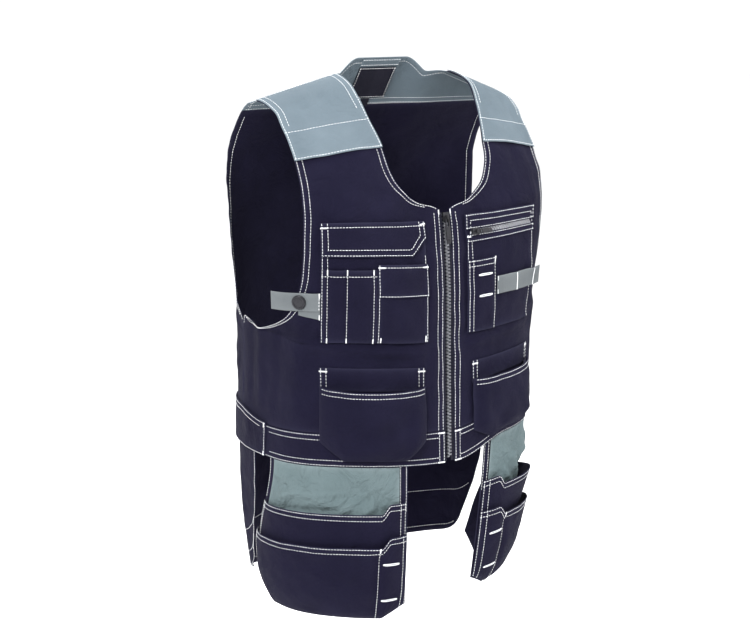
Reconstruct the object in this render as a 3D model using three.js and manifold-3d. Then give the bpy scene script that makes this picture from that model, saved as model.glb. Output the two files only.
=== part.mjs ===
// Utility work vest, as it hangs when worn: twill body with a front zip, grey shoulders,
// chest and waist pockets, and holster pockets and a back tail hanging below the waistband.
// Millimetres, +Z up, front towards -Y, wearer's left towards +X.
// The origin is the middle of the line between the two neck points of the shoulder seams.
import * as THREE from 'three';
import Module from 'manifold-3d';
import { mergeVertices } from 'three/addons/utils/BufferGeometryUtils.js';

const wasm = await Module();
wasm.setup();

// Body sizes
const BODY_DROP = 530;
const HANG_DROP = 215;
const HALF_WIDTH = 206;
const FRONT_DEPTH = 140;
const BACK_DEPTH = 236;
const NECK_HALF = 94;
const NECK_DROP = 182;
const BACK_NECK_DROP = 12;
const SHOULDER_HALF = 207;
const BACK_SHOULDER_HALF = 216;
const SHOULDER_SLOPE = 0.31;
const SHOULDER_SWEEP = 32;
const COLLAR_RISE = 34;
const ARMHOLE_DROP = 350;
const SIDE_SEAM = 350;
const SIDE_RISE = 8;
const HEM_LIFT = 22;
const YOKE_DEPTH = 47;
const PATCH_DROP = 98;

// Cloth and gaps
const CLOTH = 1.2;
const THIN_CLOTH = 0.9;
const BAND_CLOTH = 2.4;
const GAP = 0.5;
const SEAM_GAP = 0.4;
const INNER_GAP = 1.3;

// Waistband
const BAND_DROP = 483;
const BAND_SEAM = 0.9;
const HEM_DROP = BODY_DROP - 1;
const LAP_AROUND = 285;
const LAP_TUCK = 57;

// Front zip
const ZIP_EDGE = 8.5;
const TAPE_WIDTH = 21;
const CHAIN_HALF = 3.2;
const CHAIN_HEIGHT = 2.2;
const TOOTH_HEIGHT = 0.9;
const TOOTH_PITCH = 8;
const SLIDER_WIDTH = 10;
const SLIDER_LENGTH = 14;
const SLIDER_HEIGHT = 2.6;
const PULLER_WIDTH = 8;
const PULLER_LENGTH = 36;
const PULLER_THICKNESS = 1.6;
const PULLER_PIN = 1.4;

// Chest pockets
const CHEST_DROP = 196;
const CHEST_INNER = 36;
const CHEST_WIDTH = 151;
const CHEST_HEIGHT = 161;
const CHEST_PUFF = 3;
const FLAP_HEIGHT = 44;
const FLAP_CHAMFER = 24;
const PHONE_WIDTH = 76;
const PHONE_DROP = 262;
const PHONE_FLAP_DROP = 250;
const PHONE_FLAP_HEIGHT = 44;
const PEN_DROP = 257;
const LEFT_CHEST_DROP = 190;
const LEFT_CHEST_WIDTH = 132;
const LEFT_PEN_WIDTH = 48;
const LEFT_PEN_DROP = 251;
const WELT_HEIGHT = 37;
const CHEST_ZIP_DROP = 213;
const CHEST_CHAIN_HALF = 2.6;
const CHEST_PULLER_LENGTH = 26;

// Elastic adjusters
const ELASTIC = 1.6;
const ELASTIC_WIDTH = 25;
const TAB_DROP = 289;
const TAB_REACH = 70;
const TAIL_REACH = 30;
const STRAP_REACH = 50;
const SNAP_REACH = 28;
const LEFT_TAB_DROP = 279;
const SNAP_RADIUS = 10;
const SNAP_HEIGHT = 3;

// Lower bellows pockets
const LOWER_DROP = 392;
const LOWER_INNER = 40;
const LOWER_WIDTH = 149;
const LOWER_STRIP = 32;
const LOWER_MOUTH = 26;
const LOWER_HEIGHT = 102;
const LOWER_DEPTH = 20;
const LEFT_LOWER_WIDTH = 136;
const LEFT_LOWER_DEPTH = 12;
const LOWER_SAG = 5;
const LOWER_CHAMFER = 32;

// Holsters and tail
const HOLSTER_INNER = 66;
const HOLSTER_TOP_WIDTH = 214;
const HOLSTER_WIDTH = 252;
const HOLSTER_TUCK = 24;
const HOLSTER_CHAMFER = 34;
const HOLSTER_BINDING = 13;
const UPPER_MOUTH = 65;
const LOWER_HOLSTER_MOUTH = 110;
const MOUTH_STEP = 14;
const HAMMER_WIDTH = 42;
const UPPER_DEPTH = 10;
const LOWER_HOLSTER_DEPTH = 16;
const LEFT_GAPE = 9;
const LEFT_SWAY = 20;
const TAIL_EDGE = 326;
const TAIL_TUCK = 24;
const TAIL_ROUND = 40;
const TAIL_FLAT = 100;
const TAIL_RISE = 26;

// Hanger strip and label patch inside the back neck
const HANGER_HALF = 32;
const HANGER_HEIGHT = 9;
const LABEL_HALF = 31;
const LABEL_HEIGHT = 38;
const SIZE_TAB_HALF = 7;
const SIZE_TAB_HEIGHT = 9;

// Colours
const NAVY = 0x1b1930;
const GREY = 0x8494a0;
const LINING = 0x9fb0b6;
const WEBBING = 0x9ea6a8;
const TAPE = 0x2b2c38;
const METAL = 0x6b6f78;
const BLACK = 0x15151a;

const clamp = (t) => Math.min(1, Math.max(0, t));
const ease = (t) => clamp(t) ** 2 * (3 - 2 * clamp(t));
const mix = (a, b, t) => a + (b - a) * t;
const even = (count) => Array.from({ length: count + 1 }, (_, i) => i / count);

// Level sections of the worn body, from the shoulder line down. Drop is a share of BODY_DROP,
// half, front and back of the half width and the two depths, square is the superellipse's
// exponent, and slope is the share of the shoulders' slope and sweep that is left.
const BODY = [
  { drop: 0.0, half: 1.165, front: 0.0, back: 0.0, square: 5.0, slope: 1.0 },
  { drop: 0.023, half: 1.165, front: 0.314, back: 0.102, square: 5.0, slope: 0.97 },
  { drop: 0.085, half: 1.165, front: 0.5, back: 0.229, square: 5.0, slope: 0.84 },
  { drop: 0.174, half: 1.165, front: 0.679, back: 0.39, square: 4.2, slope: 0.55 },
  { drop: 0.283, half: 1.146, front: 0.829, back: 0.551, square: 3.3, slope: 0.16 },
  { drop: 0.406, half: 1.117, front: 0.921, back: 0.678, square: 2.75, slope: 0.0 },
  { drop: 0.547, half: 1.068, front: 0.964, back: 0.788, square: 2.45, slope: 0.0 },
  { drop: 0.698, half: 1.019, front: 0.971, back: 0.869, square: 2.35, slope: 0.0 },
  { drop: 0.868, half: 1.01, front: 0.986, back: 0.945, square: 2.3, slope: 0.0 },
  { drop: 1.02, half: 1.0, front: 1.0, back: 1.0, square: 2.25, slope: 0.0 },
];

// The same below the hem, with drop a share of HANG_DROP.
const HANG = [
  { drop: 0.42, half: 0.985, front: 0.993, back: 1.0, square: 2.2, slope: 0.0 },
  { drop: 0.74, half: 0.951, front: 0.979, back: 0.975, square: 2.15, slope: 0.0 },
  { drop: 1.08, half: 0.893, front: 0.957, back: 0.932, square: 2.1, slope: 0.0 },
];

const sized = (row, level) => ({
  level: -level,
  half: row.half * HALF_WIDTH,
  front: row.front * FRONT_DEPTH,
  back: row.back * BACK_DEPTH,
  square: row.square,
  slope: row.slope,
});
const SECTIONS = [
  ...BODY.map((row) => sized(row, row.drop * BODY_DROP)),
  ...HANG.map((row) => sized(row, BODY_DROP + row.drop * HANG_DROP)),
];
const LAST = SECTIONS.length - 1;

// Beyond the shoulder line the sections mirror, so that front and back meet in a round crest.
function sectionRow(k) {
  const row = SECTIONS[Math.min(Math.abs(k), LAST)];
  return k < 0 ? { ...row, front: -row.front, back: -row.back } : row;
}

function section(q) {
  const i = Math.min(Math.floor(q), LAST - 1);
  const t = q - i;
  const [a, b, c, d] = [-1, 0, 1, 2].map((k) => sectionRow(i + k));
  const blend = (key) => 0.5 * (
    2 * b[key] + (c[key] - a[key]) * t
    + (2 * a[key] - 5 * b[key] + 4 * c[key] - d[key]) * t * t
    + (3 * b[key] - a[key] - 3 * c[key] + d[key]) * t ** 3);
  return {
    level: blend('level'), half: blend('half'), front: blend('front'),
    back: blend('back'), square: blend('square'), slope: blend('slope'),
  };
}

// Each section as two quarter rings with their lengths, from the centre to the side.
const RING_STEPS = 160;
const rings = new Map();
function quarter(cut, depth) {
  const xs = [];
  const ys = [];
  const along = [0];
  for (let i = 0; i <= RING_STEPS; i += 1) {
    const angle = (Math.PI / 2) * (i / RING_STEPS);
    const x = cut.half * Math.sin(angle) ** (2 / cut.square);
    const sweep = (Math.abs(x) - NECK_HALF) / (SHOULDER_HALF - NECK_HALF);
    const y = depth * Math.max(0, Math.cos(angle)) ** (2 / cut.square)
      + SHOULDER_SWEEP * cut.slope * Math.min(1.3, Math.max(0, sweep));
    xs.push(x);
    ys.push(y);
    if (i > 0) along.push(along[i - 1] + Math.hypot(x - xs[i - 1], y - ys[i - 1]));
  }
  return { xs, ys, along, length: along[RING_STEPS] };
}
function ring(q) {
  const key = q.toFixed(6);
  if (!rings.has(key)) {
    const cut = section(q);
    rings.set(key, { cut, front: quarter(cut, -cut.front), back: quarter(cut, cut.back) });
  }
  return rings.get(key);
}
function alongQuarter(part, s) {
  let low = 0;
  let high = RING_STEPS;
  while (high - low > 1) {
    const middle = (low + high) >> 1;
    if (part.along[middle] > s) high = middle;
    else low = middle;
  }
  const t = (s - part.along[low]) / (part.along[high] - part.along[low]);
  return [mix(part.xs[low], part.xs[high], t), mix(part.ys[low], part.ys[high], t)];
}
const girth = (q) => ring(q).front.length + ring(q).back.length;

// A place on the body: s is the distance around from the centre front, q the section.
function onRing(side, s, q) {
  const { cut, front, back } = ring(q);
  const whole = front.length + back.length;
  const turned = s > whole ? 2 * whole - s : Math.abs(s);
  const mirror = s < 0 || s > whole ? -side : side;
  const [x, y] = turned <= front.length
    ? alongQuarter(front, turned)
    : alongQuarter(back, whole - turned);
  const fall = x > NECK_HALF ? SHOULDER_SLOPE * (x - NECK_HALF) : 0;
  const rise = COLLAR_RISE * (1 - ease((x - 0.42 * NECK_HALF) / (0.58 * NECK_HALF)));
  return new THREE.Vector3(mirror * x, y, cut.level + (rise - fall) * cut.slope);
}

// The same place, moved out from the body by some millimetres.
const PROBE = 1.5;
const PROBE_SECTION = 0.02;
function onBody(side, s, q, out) {
  const across = onRing(side, s + PROBE, q).sub(onRing(side, s - PROBE, q));
  const down = onRing(side, s, q + PROBE_SECTION).sub(onRing(side, s, q - PROBE_SECTION));
  const normal = down.cross(across).normalize().multiplyScalar(side * out);
  return onRing(side, s, q).add(normal);
}

// Section at a drop below the shoulder. The sides ride a little higher than the front, and
// the wearer's left hem is pulled up by its pockets.
const LEVEL_STEPS = 1200;
const LEVELS = Array.from(
  { length: LEVEL_STEPS + 1 }, (_, i) => section((LAST * i) / LEVEL_STEPS).level);
function sectionOf(level) {
  let low = 0;
  let high = LEVEL_STEPS;
  while (high - low > 1) {
    const middle = (low + high) >> 1;
    if (LEVELS[middle] < level) high = middle;
    else low = middle;
  }
  const t = (level - LEVELS[low]) / (LEVELS[high] - LEVELS[low]);
  return (LAST * (low + t)) / LEVEL_STEPS;
}
function sectionAt(side, s, drop) {
  let lift = SIDE_RISE * ease(s / (0.92 * SHOULDER_HALF)) * ease(drop / PATCH_DROP);
  if (side > 0) {
    const bump = ease((s - ZIP_EDGE) / 100) * (1 - ease((s - 180) / 100));
    const low = ease((drop - 0.7 * BODY_DROP) / (0.3 * BODY_DROP));
    const hang = 1 - 0.4 * ease((drop - HEM_DROP) / 50);
    lift += HEM_LIFT * bump * low * hang;
  }
  return sectionOf(lift - drop);
}

// A wall closed from an outer and an inner grid of points, rows times columns.
function closedWall(outer, inner, rows, columns) {
  const points = [...outer, ...inner];
  const at = (i, j) => i * columns + j;
  const inside = outer.length;
  const faces = [];
  const quad = (a, b, c, d) => faces.push([a, b, c], [a, c, d]);
  for (let i = 0; i + 1 < rows; i += 1) {
    for (let j = 0; j + 1 < columns; j += 1) {
      const corners = [at(i, j), at(i, j + 1), at(i + 1, j + 1), at(i + 1, j)];
      const [a, b, c, d] = corners;
      faces.push([a, b, c], [a, c, d]);
      faces.push([inside + a, inside + c, inside + b], [inside + a, inside + d, inside + c]);
    }
  }
  const rim = (a, b) => quad(b, a, inside + a, inside + b);
  for (let j = 0; j + 1 < columns; j += 1) {
    rim(at(0, j), at(0, j + 1));
    rim(at(rows - 1, j + 1), at(rows - 1, j));
  }
  for (let i = 0; i + 1 < rows; i += 1) {
    rim(at(i + 1, 0), at(i, 0));
    rim(at(i, columns - 1), at(i + 1, columns - 1));
  }
  return geometryOf(points, faces);
}

function geometryOf(points, faces) {
  let volume = 0;
  const edge = new THREE.Vector3();
  faces.forEach(([a, b, c]) => {
    volume += points[a].dot(edge.crossVectors(points[b], points[c]));
  });
  const index = faces.flatMap(([a, b, c]) => (volume > 0 ? [a, b, c] : [a, c, b]));
  const geometry = new THREE.BufferGeometry();
  geometry.setAttribute('position', new THREE.Float32BufferAttribute(
    points.flatMap((p) => [p.x, p.y, p.z]), 3));
  geometry.setIndex(index);
  return geometry;
}

// Cloth that lies along the body: place gives s, q and out for shares across and down.
function layer(side, across, down, place, thickness = CLOTH) {
  const outer = [];
  const inner = [];
  down.forEach((b) => across.forEach((a) => {
    const { s, q, out } = place(a, b);
    const thick = typeof thickness === 'number' ? thickness : thickness(a, b);
    inner.push(onBody(side, s, q, out));
    outer.push(onBody(side, s, q, out + thick));
  }));
  return closedWall(outer, inner, down.length, across.length);
}

// A pocket front that stands away from the body: its wall is measured square to itself.
function bag(side, across, down, place, thickness = CLOTH) {
  const columns = across.length;
  const outer = down.flatMap((b) => across.map((a) => {
    const { s, q, out } = place(a, b);
    return onBody(side, s, q, out);
  }));
  const point = (i, j) => outer[
    Math.min(down.length - 1, Math.max(0, i)) * columns + Math.min(columns - 1, Math.max(0, j))];
  const inner = outer.map((p, k) => {
    const i = Math.floor(k / columns);
    const j = k % columns;
    const over = point(i, j + 1).clone().sub(point(i, j - 1));
    const below = point(i + 1, j).clone().sub(point(i - 1, j));
    const normal = below.cross(over).normalize().multiplyScalar(side * thickness);
    return p.clone().sub(normal);
  });
  return closedWall(outer, inner, down.length, columns);
}

const group = new THREE.Group();
function add(name, geometry, colour, roughness = 0.9, metalness = 0) {
  const material = new THREE.MeshStandardMaterial({ color: colour, roughness, metalness });
  const mesh = new THREE.Mesh(geometry, material);
  mesh.name = name;
  group.add(mesh);
  return mesh;
}

const SIDES = [{ side: -1, label: 'right' }, { side: 1, label: 'left' }];

// Fronts. Each row runs from the neckline or zip edge to the armhole or side seam. Inner is a
// share of NECK_HALF. A drop up to 1 is a share of the neckline's or armhole's depth, and from
// there to 2 it goes on to the waistband. Outer goes to the shoulder at 1 and the side seam at 2.
const FRONT = [
  { inner: 1.0, innerDrop: 0.0, outer: 1.0, outerDrop: 0.0 },
  { inner: 1.02, innerDrop: 0.02, outer: 1.0, outerDrop: 0.01 },
  { inner: 1.03, innerDrop: 0.06, outer: 1.0, outerDrop: 0.03 },
  { inner: 1.03, innerDrop: 0.13, outer: 0.995, outerDrop: 0.07 },
  { inner: 1.01, innerDrop: 0.22, outer: 0.995, outerDrop: 0.11 },
  { inner: 0.98, innerDrop: 0.32, outer: 0.99, outerDrop: 0.16 },
  { inner: 0.94, innerDrop: 0.42, outer: 0.99, outerDrop: 0.22 },
  { inner: 0.89, innerDrop: 0.54, outer: 0.99, outerDrop: 0.28 },
  { inner: 0.84, innerDrop: 0.7, outer: 0.995, outerDrop: 0.37 },
  { inner: 0.7, innerDrop: 0.84, outer: 1.0, outerDrop: 0.45 },
  { inner: 0.44, innerDrop: 0.94, outer: 1.005, outerDrop: 0.53 },
  { inner: 0.09, innerDrop: 0.99, outer: 1.015, outerDrop: 0.61 },
  { inner: 0.09, innerDrop: 1.15, outer: 1.03, outerDrop: 0.71 },
  { inner: 0.09, innerDrop: 1.3, outer: 1.07, outerDrop: 0.82 },
  { inner: 0.09, innerDrop: 1.43, outer: 1.22, outerDrop: 0.93 },
  { inner: 0.09, innerDrop: 1.55, outer: 1.52, outerDrop: 0.985 },
  { inner: 0.09, innerDrop: 1.65, outer: 1.8, outerDrop: 0.99 },
  { inner: 0.09, innerDrop: 1.74, outer: 2.0, outerDrop: 1.0 },
  { inner: 0.09, innerDrop: 1.87, outer: 2.04, outerDrop: 1.45 },
  { inner: 0.09, innerDrop: 2.0, outer: 2.1, outerDrop: 2.0 },
];
const PATCH_ROWS = 7;
const FRONT_COLUMNS = 13;
const CREST = SEAM_GAP / 2 / (BODY[1].front * FRONT_DEPTH);
const stepped = (share, first, last) => (share <= 1
  ? share * first
  : mix(first, last, share - 1));

function frontPlace(side, a, row, out) {
  const cut = FRONT[row];
  const s = mix(cut.inner * NECK_HALF, stepped(cut.outer, SHOULDER_HALF, SIDE_SEAM), a);
  const inner = stepped(cut.innerDrop, NECK_DROP, BAND_DROP);
  const outer = stepped(cut.outerDrop, ARMHOLE_DROP, BAND_DROP);
  const under = sectionAt(side, s, PATCH_DROP);
  const q = row <= PATCH_ROWS
    ? mix(CREST, under, row / PATCH_ROWS)
    : sectionAt(side, s, mix(inner, outer, a));
  return { s, q, out };
}
const frontRows = FRONT.map((_, i) => i);
const patchRows = frontRows.slice(0, PATCH_ROWS + 1);
const frontAcross = even(FRONT_COLUMNS);
SIDES.forEach(({ side, label }) => {
  add(`front_${label}`, layer(side, frontAcross, frontRows,
    (a, row) => frontPlace(side, a, row, 0)), NAVY);
  add(`shoulder_patch_${label}`, layer(side, frontAcross, patchRows,
    (a, row) => frontPlace(side, a, row, CLOTH + GAP)), GREY);
});

// Distance around to the side seam at a drop, from the rows of the fronts below the armhole.
function sideSeam(drop) {
  const t = (drop - ARMHOLE_DROP) / (BAND_DROP - ARMHOLE_DROP);
  const share = t < 0.45 ? mix(2.0, 2.04, t / 0.45) : mix(2.04, 2.1, (t - 0.45) / 0.55);
  return stepped(share, SHOULDER_HALF, SIDE_SEAM);
}

// Back pieces are placed by their distance from the centre back.
const backSection = (drop) => sectionAt(-1, SHOULDER_HALF, drop);
const behind = (distance, q, out) => ({ s: girth(q) - distance, q, out });

// Half widths of the back at the armhole, as shares of ARMHOLE_DROP and BACK_SHOULDER_HALF.
const BACK_ARMHOLE = [
  { drop: 0.0, half: 1.0 },
  { drop: 0.2, half: 1.0 },
  { drop: 0.33, half: 0.995 },
  { drop: 0.46, half: 1.02 },
  { drop: 0.68, half: 1.07 },
  { drop: 0.83, half: 1.085 },
  { drop: 0.93, half: 1.11 },
];
function backHalf(drop) {
  const seam = girth(backSection(drop)) - sideSeam(drop) - SEAM_GAP;
  if (drop >= ARMHOLE_DROP) return seam;
  const share = drop / ARMHOLE_DROP;
  const next = BACK_ARMHOLE.findIndex((row) => row.drop > share);
  const last = BACK_ARMHOLE[BACK_ARMHOLE.length - 1];
  if (next < 0) {
    return mix(last.half * BACK_SHOULDER_HALF, seam, ease((share - last.drop) / (1 - last.drop)));
  }
  const [a, b] = [BACK_ARMHOLE[next - 1], BACK_ARMHOLE[next]];
  return mix(a.half, b.half, (share - a.drop) / (b.drop - a.drop)) * BACK_SHOULDER_HALF;
}

// The yoke's lower seam is level all the way across.
function yokeSection(distance) {
  let low = 0.02;
  let high = 4;
  for (let i = 0; i < 40; i += 1) {
    const middle = (low + high) / 2;
    const { s } = behind(distance, middle, 0);
    if (onRing(1, s, middle).z > -YOKE_DEPTH) low = middle;
    else high = middle;
  }
  return (low + high) / 2;
}
const HALF_ACROSS = [0, 0.16, 0.3, 0.38, 0.435, 0.52, 0.6, 0.67, 0.74, 0.8, 0.86, 0.93, 1];
const backAcross = [...HALF_ACROSS.slice(1).reverse().map((a) => -a), ...HALF_ACROSS];
const SEAM_SHARE = 0.004;
function yokeTop(distance) {
  const open = 1 - ease((Math.abs(distance) - 0.74 * NECK_HALF) / (0.26 * NECK_HALF));
  return mix(CREST, backSection(BACK_NECK_DROP), open);
}
add('back_yoke', layer(1, backAcross, even(4), (a, b) => {
  const distance = a * BACK_SHOULDER_HALF;
  const q = mix(yokeTop(distance), yokeSection(distance) - SEAM_SHARE, b);
  return behind(distance, q, 0);
}), GREY);

const BACK_DROPS = [0, 0.1, 0.2, 0.31, 0.42, 0.52, 0.59, 0.65, 0.75, 0.87, 1];
const BACK_END = HEM_DROP - 9;
add('back_panel', layer(1, backAcross, BACK_DROPS, (a, b) => {
  const edge = mix(0.05 * ARMHOLE_DROP, BACK_END, b);
  const distance = a * (b === 0 ? BACK_SHOULDER_HALF : backHalf(edge));
  const top = section(yokeSection(distance) + SEAM_SHARE).level;
  const end = section(backSection(BACK_END)).level;
  return behind(distance, sectionOf(mix(top, end, b)), 0);
}), NAVY);

// Waistband: each front band runs from the zip past the side seam, and the back band laps it.
const LAP_OUT = BAND_CLOTH + GAP;
const BACK_BAND_OUT = CLOTH + GAP;
const FRONT_BAND_END = LAP_AROUND + LAP_TUCK;
SIDES.forEach(({ side, label }) => {
  add(`waistband_front_${label}`, layer(side, even(18), even(1), (a, b) => {
    const s = mix(ZIP_EDGE, FRONT_BAND_END, a);
    return { s, q: sectionAt(side, s, mix(BAND_DROP + BAND_SEAM, HEM_DROP, b)), out: 0 };
  }, BAND_CLOTH), NAVY);
});
const BACK_BAND_RISE = 10;
add('waistband_back', layer(1, even(38), even(1), (a, b) => {
  const half = girth(backSection(HEM_DROP)) - LAP_AROUND;
  const distance = mix(-half, half, a);
  const lapped = 1 - ease((half - Math.abs(distance) - LAP_TUCK) / 24);
  const top = BAND_DROP - 3 - BACK_BAND_RISE * ease((half - Math.abs(distance)) / 90);
  const q = backSection(mix(top, HEM_DROP, b));
  return behind(distance, q, mix(BACK_BAND_OUT, LAP_OUT, lapped));
}, BAND_CLOTH), NAVY);

// Back tail, sewn inside the back waistband, with round lower corners.
const TAIL_OUT = -CLOTH - INNER_GAP;
const TAIL_END = HEM_DROP + HANG_DROP;
add('back_tail', layer(1, even(26), even(6), (a, b) => {
  const half = girth(backSection(mix(HEM_DROP - TAIL_TUCK, TAIL_END, b))) - TAIL_EDGE;
  const distance = mix(-half, half, a);
  const corner = clamp((Math.abs(distance) - half + TAIL_ROUND) / TAIL_ROUND);
  const rise = TAIL_RISE * ease((Math.abs(distance) - TAIL_FLAT) / (1.8 * TAIL_FLAT));
  const end = TAIL_END - rise - TAIL_ROUND * (1 - Math.sqrt(1 - (0.98 * corner) ** 2));
  return behind(distance, backSection(mix(HEM_DROP - TAIL_TUCK, end, b)), TAIL_OUT);
}), NAVY);

// Front zip: a tape behind each front edge, the closed chain of teeth, the slider and its puller.
const ZIP_TOP = NECK_DROP + 2;
const ZIP_END = HEM_DROP - 2;
const zipQ = (drop) => sectionAt(-1, 0, drop);
SIDES.forEach(({ side, label }) => {
  add(`zip_tape_${label}`, layer(side, even(1), even(14), (a, b) => ({
    s: mix(CHAIN_HALF + SEAM_GAP, CHAIN_HALF + TAPE_WIDTH, a),
    q: zipQ(mix(ZIP_TOP, ZIP_END, b)),
    out: -THIN_CLOTH - GAP,
  }), THIN_CLOTH), TAPE);
});
const teeth = Math.round((ZIP_END - ZIP_TOP) / TOOTH_PITCH);
const CHAIN_OUT = -THIN_CLOTH - GAP;
add('zip_teeth', layer(1, [-1, 1], even(2 * teeth), (a, b) => ({
  s: a * CHAIN_HALF, q: zipQ(mix(ZIP_TOP + 1, ZIP_END, b)), out: CHAIN_OUT,
}), (a, b) => CHAIN_HEIGHT + (Math.round(b * 2 * teeth) % 2) * TOOTH_HEIGHT), METAL, 0.45, 0.8);

// Hardware is made flat, with its face towards -Y, and turned onto the body.
function seat(mesh, side, s, drop, out, turn = 0) {
  const q = sectionAt(side, s, drop);
  const face = onBody(side, s, q, 1).sub(onRing(side, s, q)).normalize();
  const down = onRing(side, s, q + PROBE_SECTION).sub(onRing(side, s, q - PROBE_SECTION)).normalize();
  const across = new THREE.Vector3().crossVectors(face, down).normalize();
  const frame = new THREE.Matrix4().makeBasis(across, face.clone().negate(), down.clone().negate());
  mesh.quaternion.setFromRotationMatrix(frame);
  mesh.rotateY(turn);
  mesh.position.copy(onBody(side, s, q, out));
}

// Chest pocket on the wearer's right: a patch bag with a chamfered flap, and a pen pocket and
// a phone pocket with its own flap stitched on it. All of them follow the bag's slight fullness.
const CHEST_OUT = CLOTH + 2 * GAP;
const SECOND_OUT = CHEST_OUT + CLOTH + GAP;
const THIRD_OUT = SECOND_OUT + CLOTH + GAP;
const CHEST_OUTER = CHEST_INNER + CHEST_WIDTH;
const CHEST_END = CHEST_DROP + CHEST_HEIGHT;
function chestPuff(s, drop) {
  const u = clamp((s - CHEST_INNER) / CHEST_WIDTH);
  const v = clamp((drop - CHEST_DROP) / CHEST_HEIGHT);
  return CHEST_PUFF * Math.sin(Math.PI * u) * Math.sin(Math.PI * v);
}
function patch(side, columns, rows, from, to, top, bottom, out, thickness = CLOTH) {
  const across = Array.isArray(columns) ? columns : even(columns);
  return layer(side, across, even(rows), (a, b) => {
    const s = mix(from, to, a);
    const end = typeof bottom === 'number' ? bottom : bottom(a);
    const drop = mix(top, end, b);
    const away = typeof out === 'number' ? out : out(s, drop);
    return { s, q: sectionAt(side, s, drop), out: away + chestPuff(s, drop) };
  }, thickness);
}
add('chest_pocket_right',
  patch(-1, 10, 4, CHEST_INNER, CHEST_OUTER, CHEST_DROP, CHEST_END, CHEST_OUT), NAVY);
const flapEdge = (width) => (a) => CHEST_DROP + FLAP_HEIGHT
  - FLAP_CHAMFER * clamp(1 - (a * width) / FLAP_CHAMFER);
const flapColumns = [0, FLAP_CHAMFER / CHEST_WIDTH, ...even(8).map((t) => mix(0.2, 1, t))];
add('chest_flap_right', patch(-1, flapColumns, 3, CHEST_INNER, CHEST_OUTER, CHEST_DROP - 2,
  flapEdge(CHEST_WIDTH), SECOND_OUT), NAVY);
add('pen_pocket_right', patch(-1, 5, 4, CHEST_INNER + PHONE_WIDTH + GAP, CHEST_OUTER, PEN_DROP,
  CHEST_END, SECOND_OUT), NAVY);
const phoneFull = (s) => 3 * Math.sin(Math.PI * clamp((s - CHEST_INNER) / PHONE_WIDTH));
add('phone_pocket_right', patch(-1, 6, 5, CHEST_INNER, CHEST_INNER + PHONE_WIDTH, PHONE_DROP,
  CHEST_END, (s) => SECOND_OUT + phoneFull(s)), NAVY);
add('phone_flap_right', patch(-1, 6, 3, CHEST_INNER, CHEST_INNER + PHONE_WIDTH, PHONE_FLAP_DROP,
  PHONE_FLAP_DROP + PHONE_FLAP_HEIGHT, (s) => THIRD_OUT + phoneFull(s)), NAVY);

// Chest pocket on the wearer's left: a zipped welt over the bag, and a pen pocket with
// two bar tacks. The zip has its own tape, chain, slider and puller.
const LEFT_CHEST_OUTER = CHEST_INNER - 4 + LEFT_CHEST_WIDTH;
const LEFT_INNER = CHEST_INNER - 4;
add('chest_pocket_left', patch(1, 9, 4, LEFT_INNER, LEFT_CHEST_OUTER, LEFT_CHEST_DROP,
  LEFT_CHEST_DROP + CHEST_HEIGHT, CHEST_OUT), NAVY);
add('pen_pocket_left', patch(1, 4, 4, LEFT_INNER, LEFT_INNER + LEFT_PEN_WIDTH, LEFT_PEN_DROP,
  LEFT_CHEST_DROP + CHEST_HEIGHT, SECOND_OUT), NAVY);
const CHAIN_TOP = CHEST_ZIP_DROP - CHEST_CHAIN_HALF - GAP;
const CHAIN_BOTTOM = CHEST_ZIP_DROP + CHEST_CHAIN_HALF + GAP;
add('chest_zip_welt_upper', patch(1, 8, 1, LEFT_INNER, LEFT_CHEST_OUTER, LEFT_CHEST_DROP,
  CHAIN_TOP, SECOND_OUT), NAVY);
add('chest_zip_welt_lower', patch(1, 8, 1, LEFT_INNER, LEFT_CHEST_OUTER, CHAIN_BOTTOM,
  LEFT_CHEST_DROP + WELT_HEIGHT, SECOND_OUT), NAVY);
const chestTeeth = Math.round((LEFT_CHEST_WIDTH - 16) / TOOTH_PITCH);
add('chest_zip_teeth', layer(1, even(2 * chestTeeth), [-1, 1], (a, b) => {
  const s = mix(LEFT_INNER + 8, LEFT_CHEST_OUTER - 8, a);
  const drop = CHEST_ZIP_DROP + b * CHEST_CHAIN_HALF;
  return { s, q: sectionAt(1, s, drop), out: SECOND_OUT + chestPuff(s, drop) };
}, (a) => CLOTH + (Math.round(a * 2 * chestTeeth) % 2) * TOOTH_HEIGHT), METAL, 0.4, 0.8);

// Elastic adjusters beside the chest pockets: webbing that crosses the armhole's front edge
// on the right with a snap, and on the left one strap whose end stands off the cloth.
const tab = (side, from, to, top, height, out) => layer(side, even(5), even(1), (a, b) => {
  const s = mix(from, to, a);
  return { s, q: sectionAt(side, s, mix(top, top + height, b)), out: out(a) };
}, ELASTIC);
const TAB_OUT = CLOTH + GAP;
add('elastic_tail_right', tab(-1, CHEST_OUTER + GAP, CHEST_OUTER + TAIL_REACH, TAB_DROP + 8,
  ELASTIC_WIDTH - 2, () => TAB_OUT), WEBBING);
add('elastic_tab_right', tab(-1, CHEST_OUTER + GAP, CHEST_OUTER + TAB_REACH, TAB_DROP,
  ELASTIC_WIDTH, () => TAB_OUT + ELASTIC + GAP), WEBBING);
add('elastic_tab_left', tab(1, LEFT_INNER + LEFT_PEN_WIDTH + GAP, LEFT_CHEST_OUTER + STRAP_REACH,
  LEFT_TAB_DROP, ELASTIC_WIDTH, (a) => SECOND_OUT + 1 + CHEST_PUFF + 3 * a * a), WEBBING);

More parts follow.
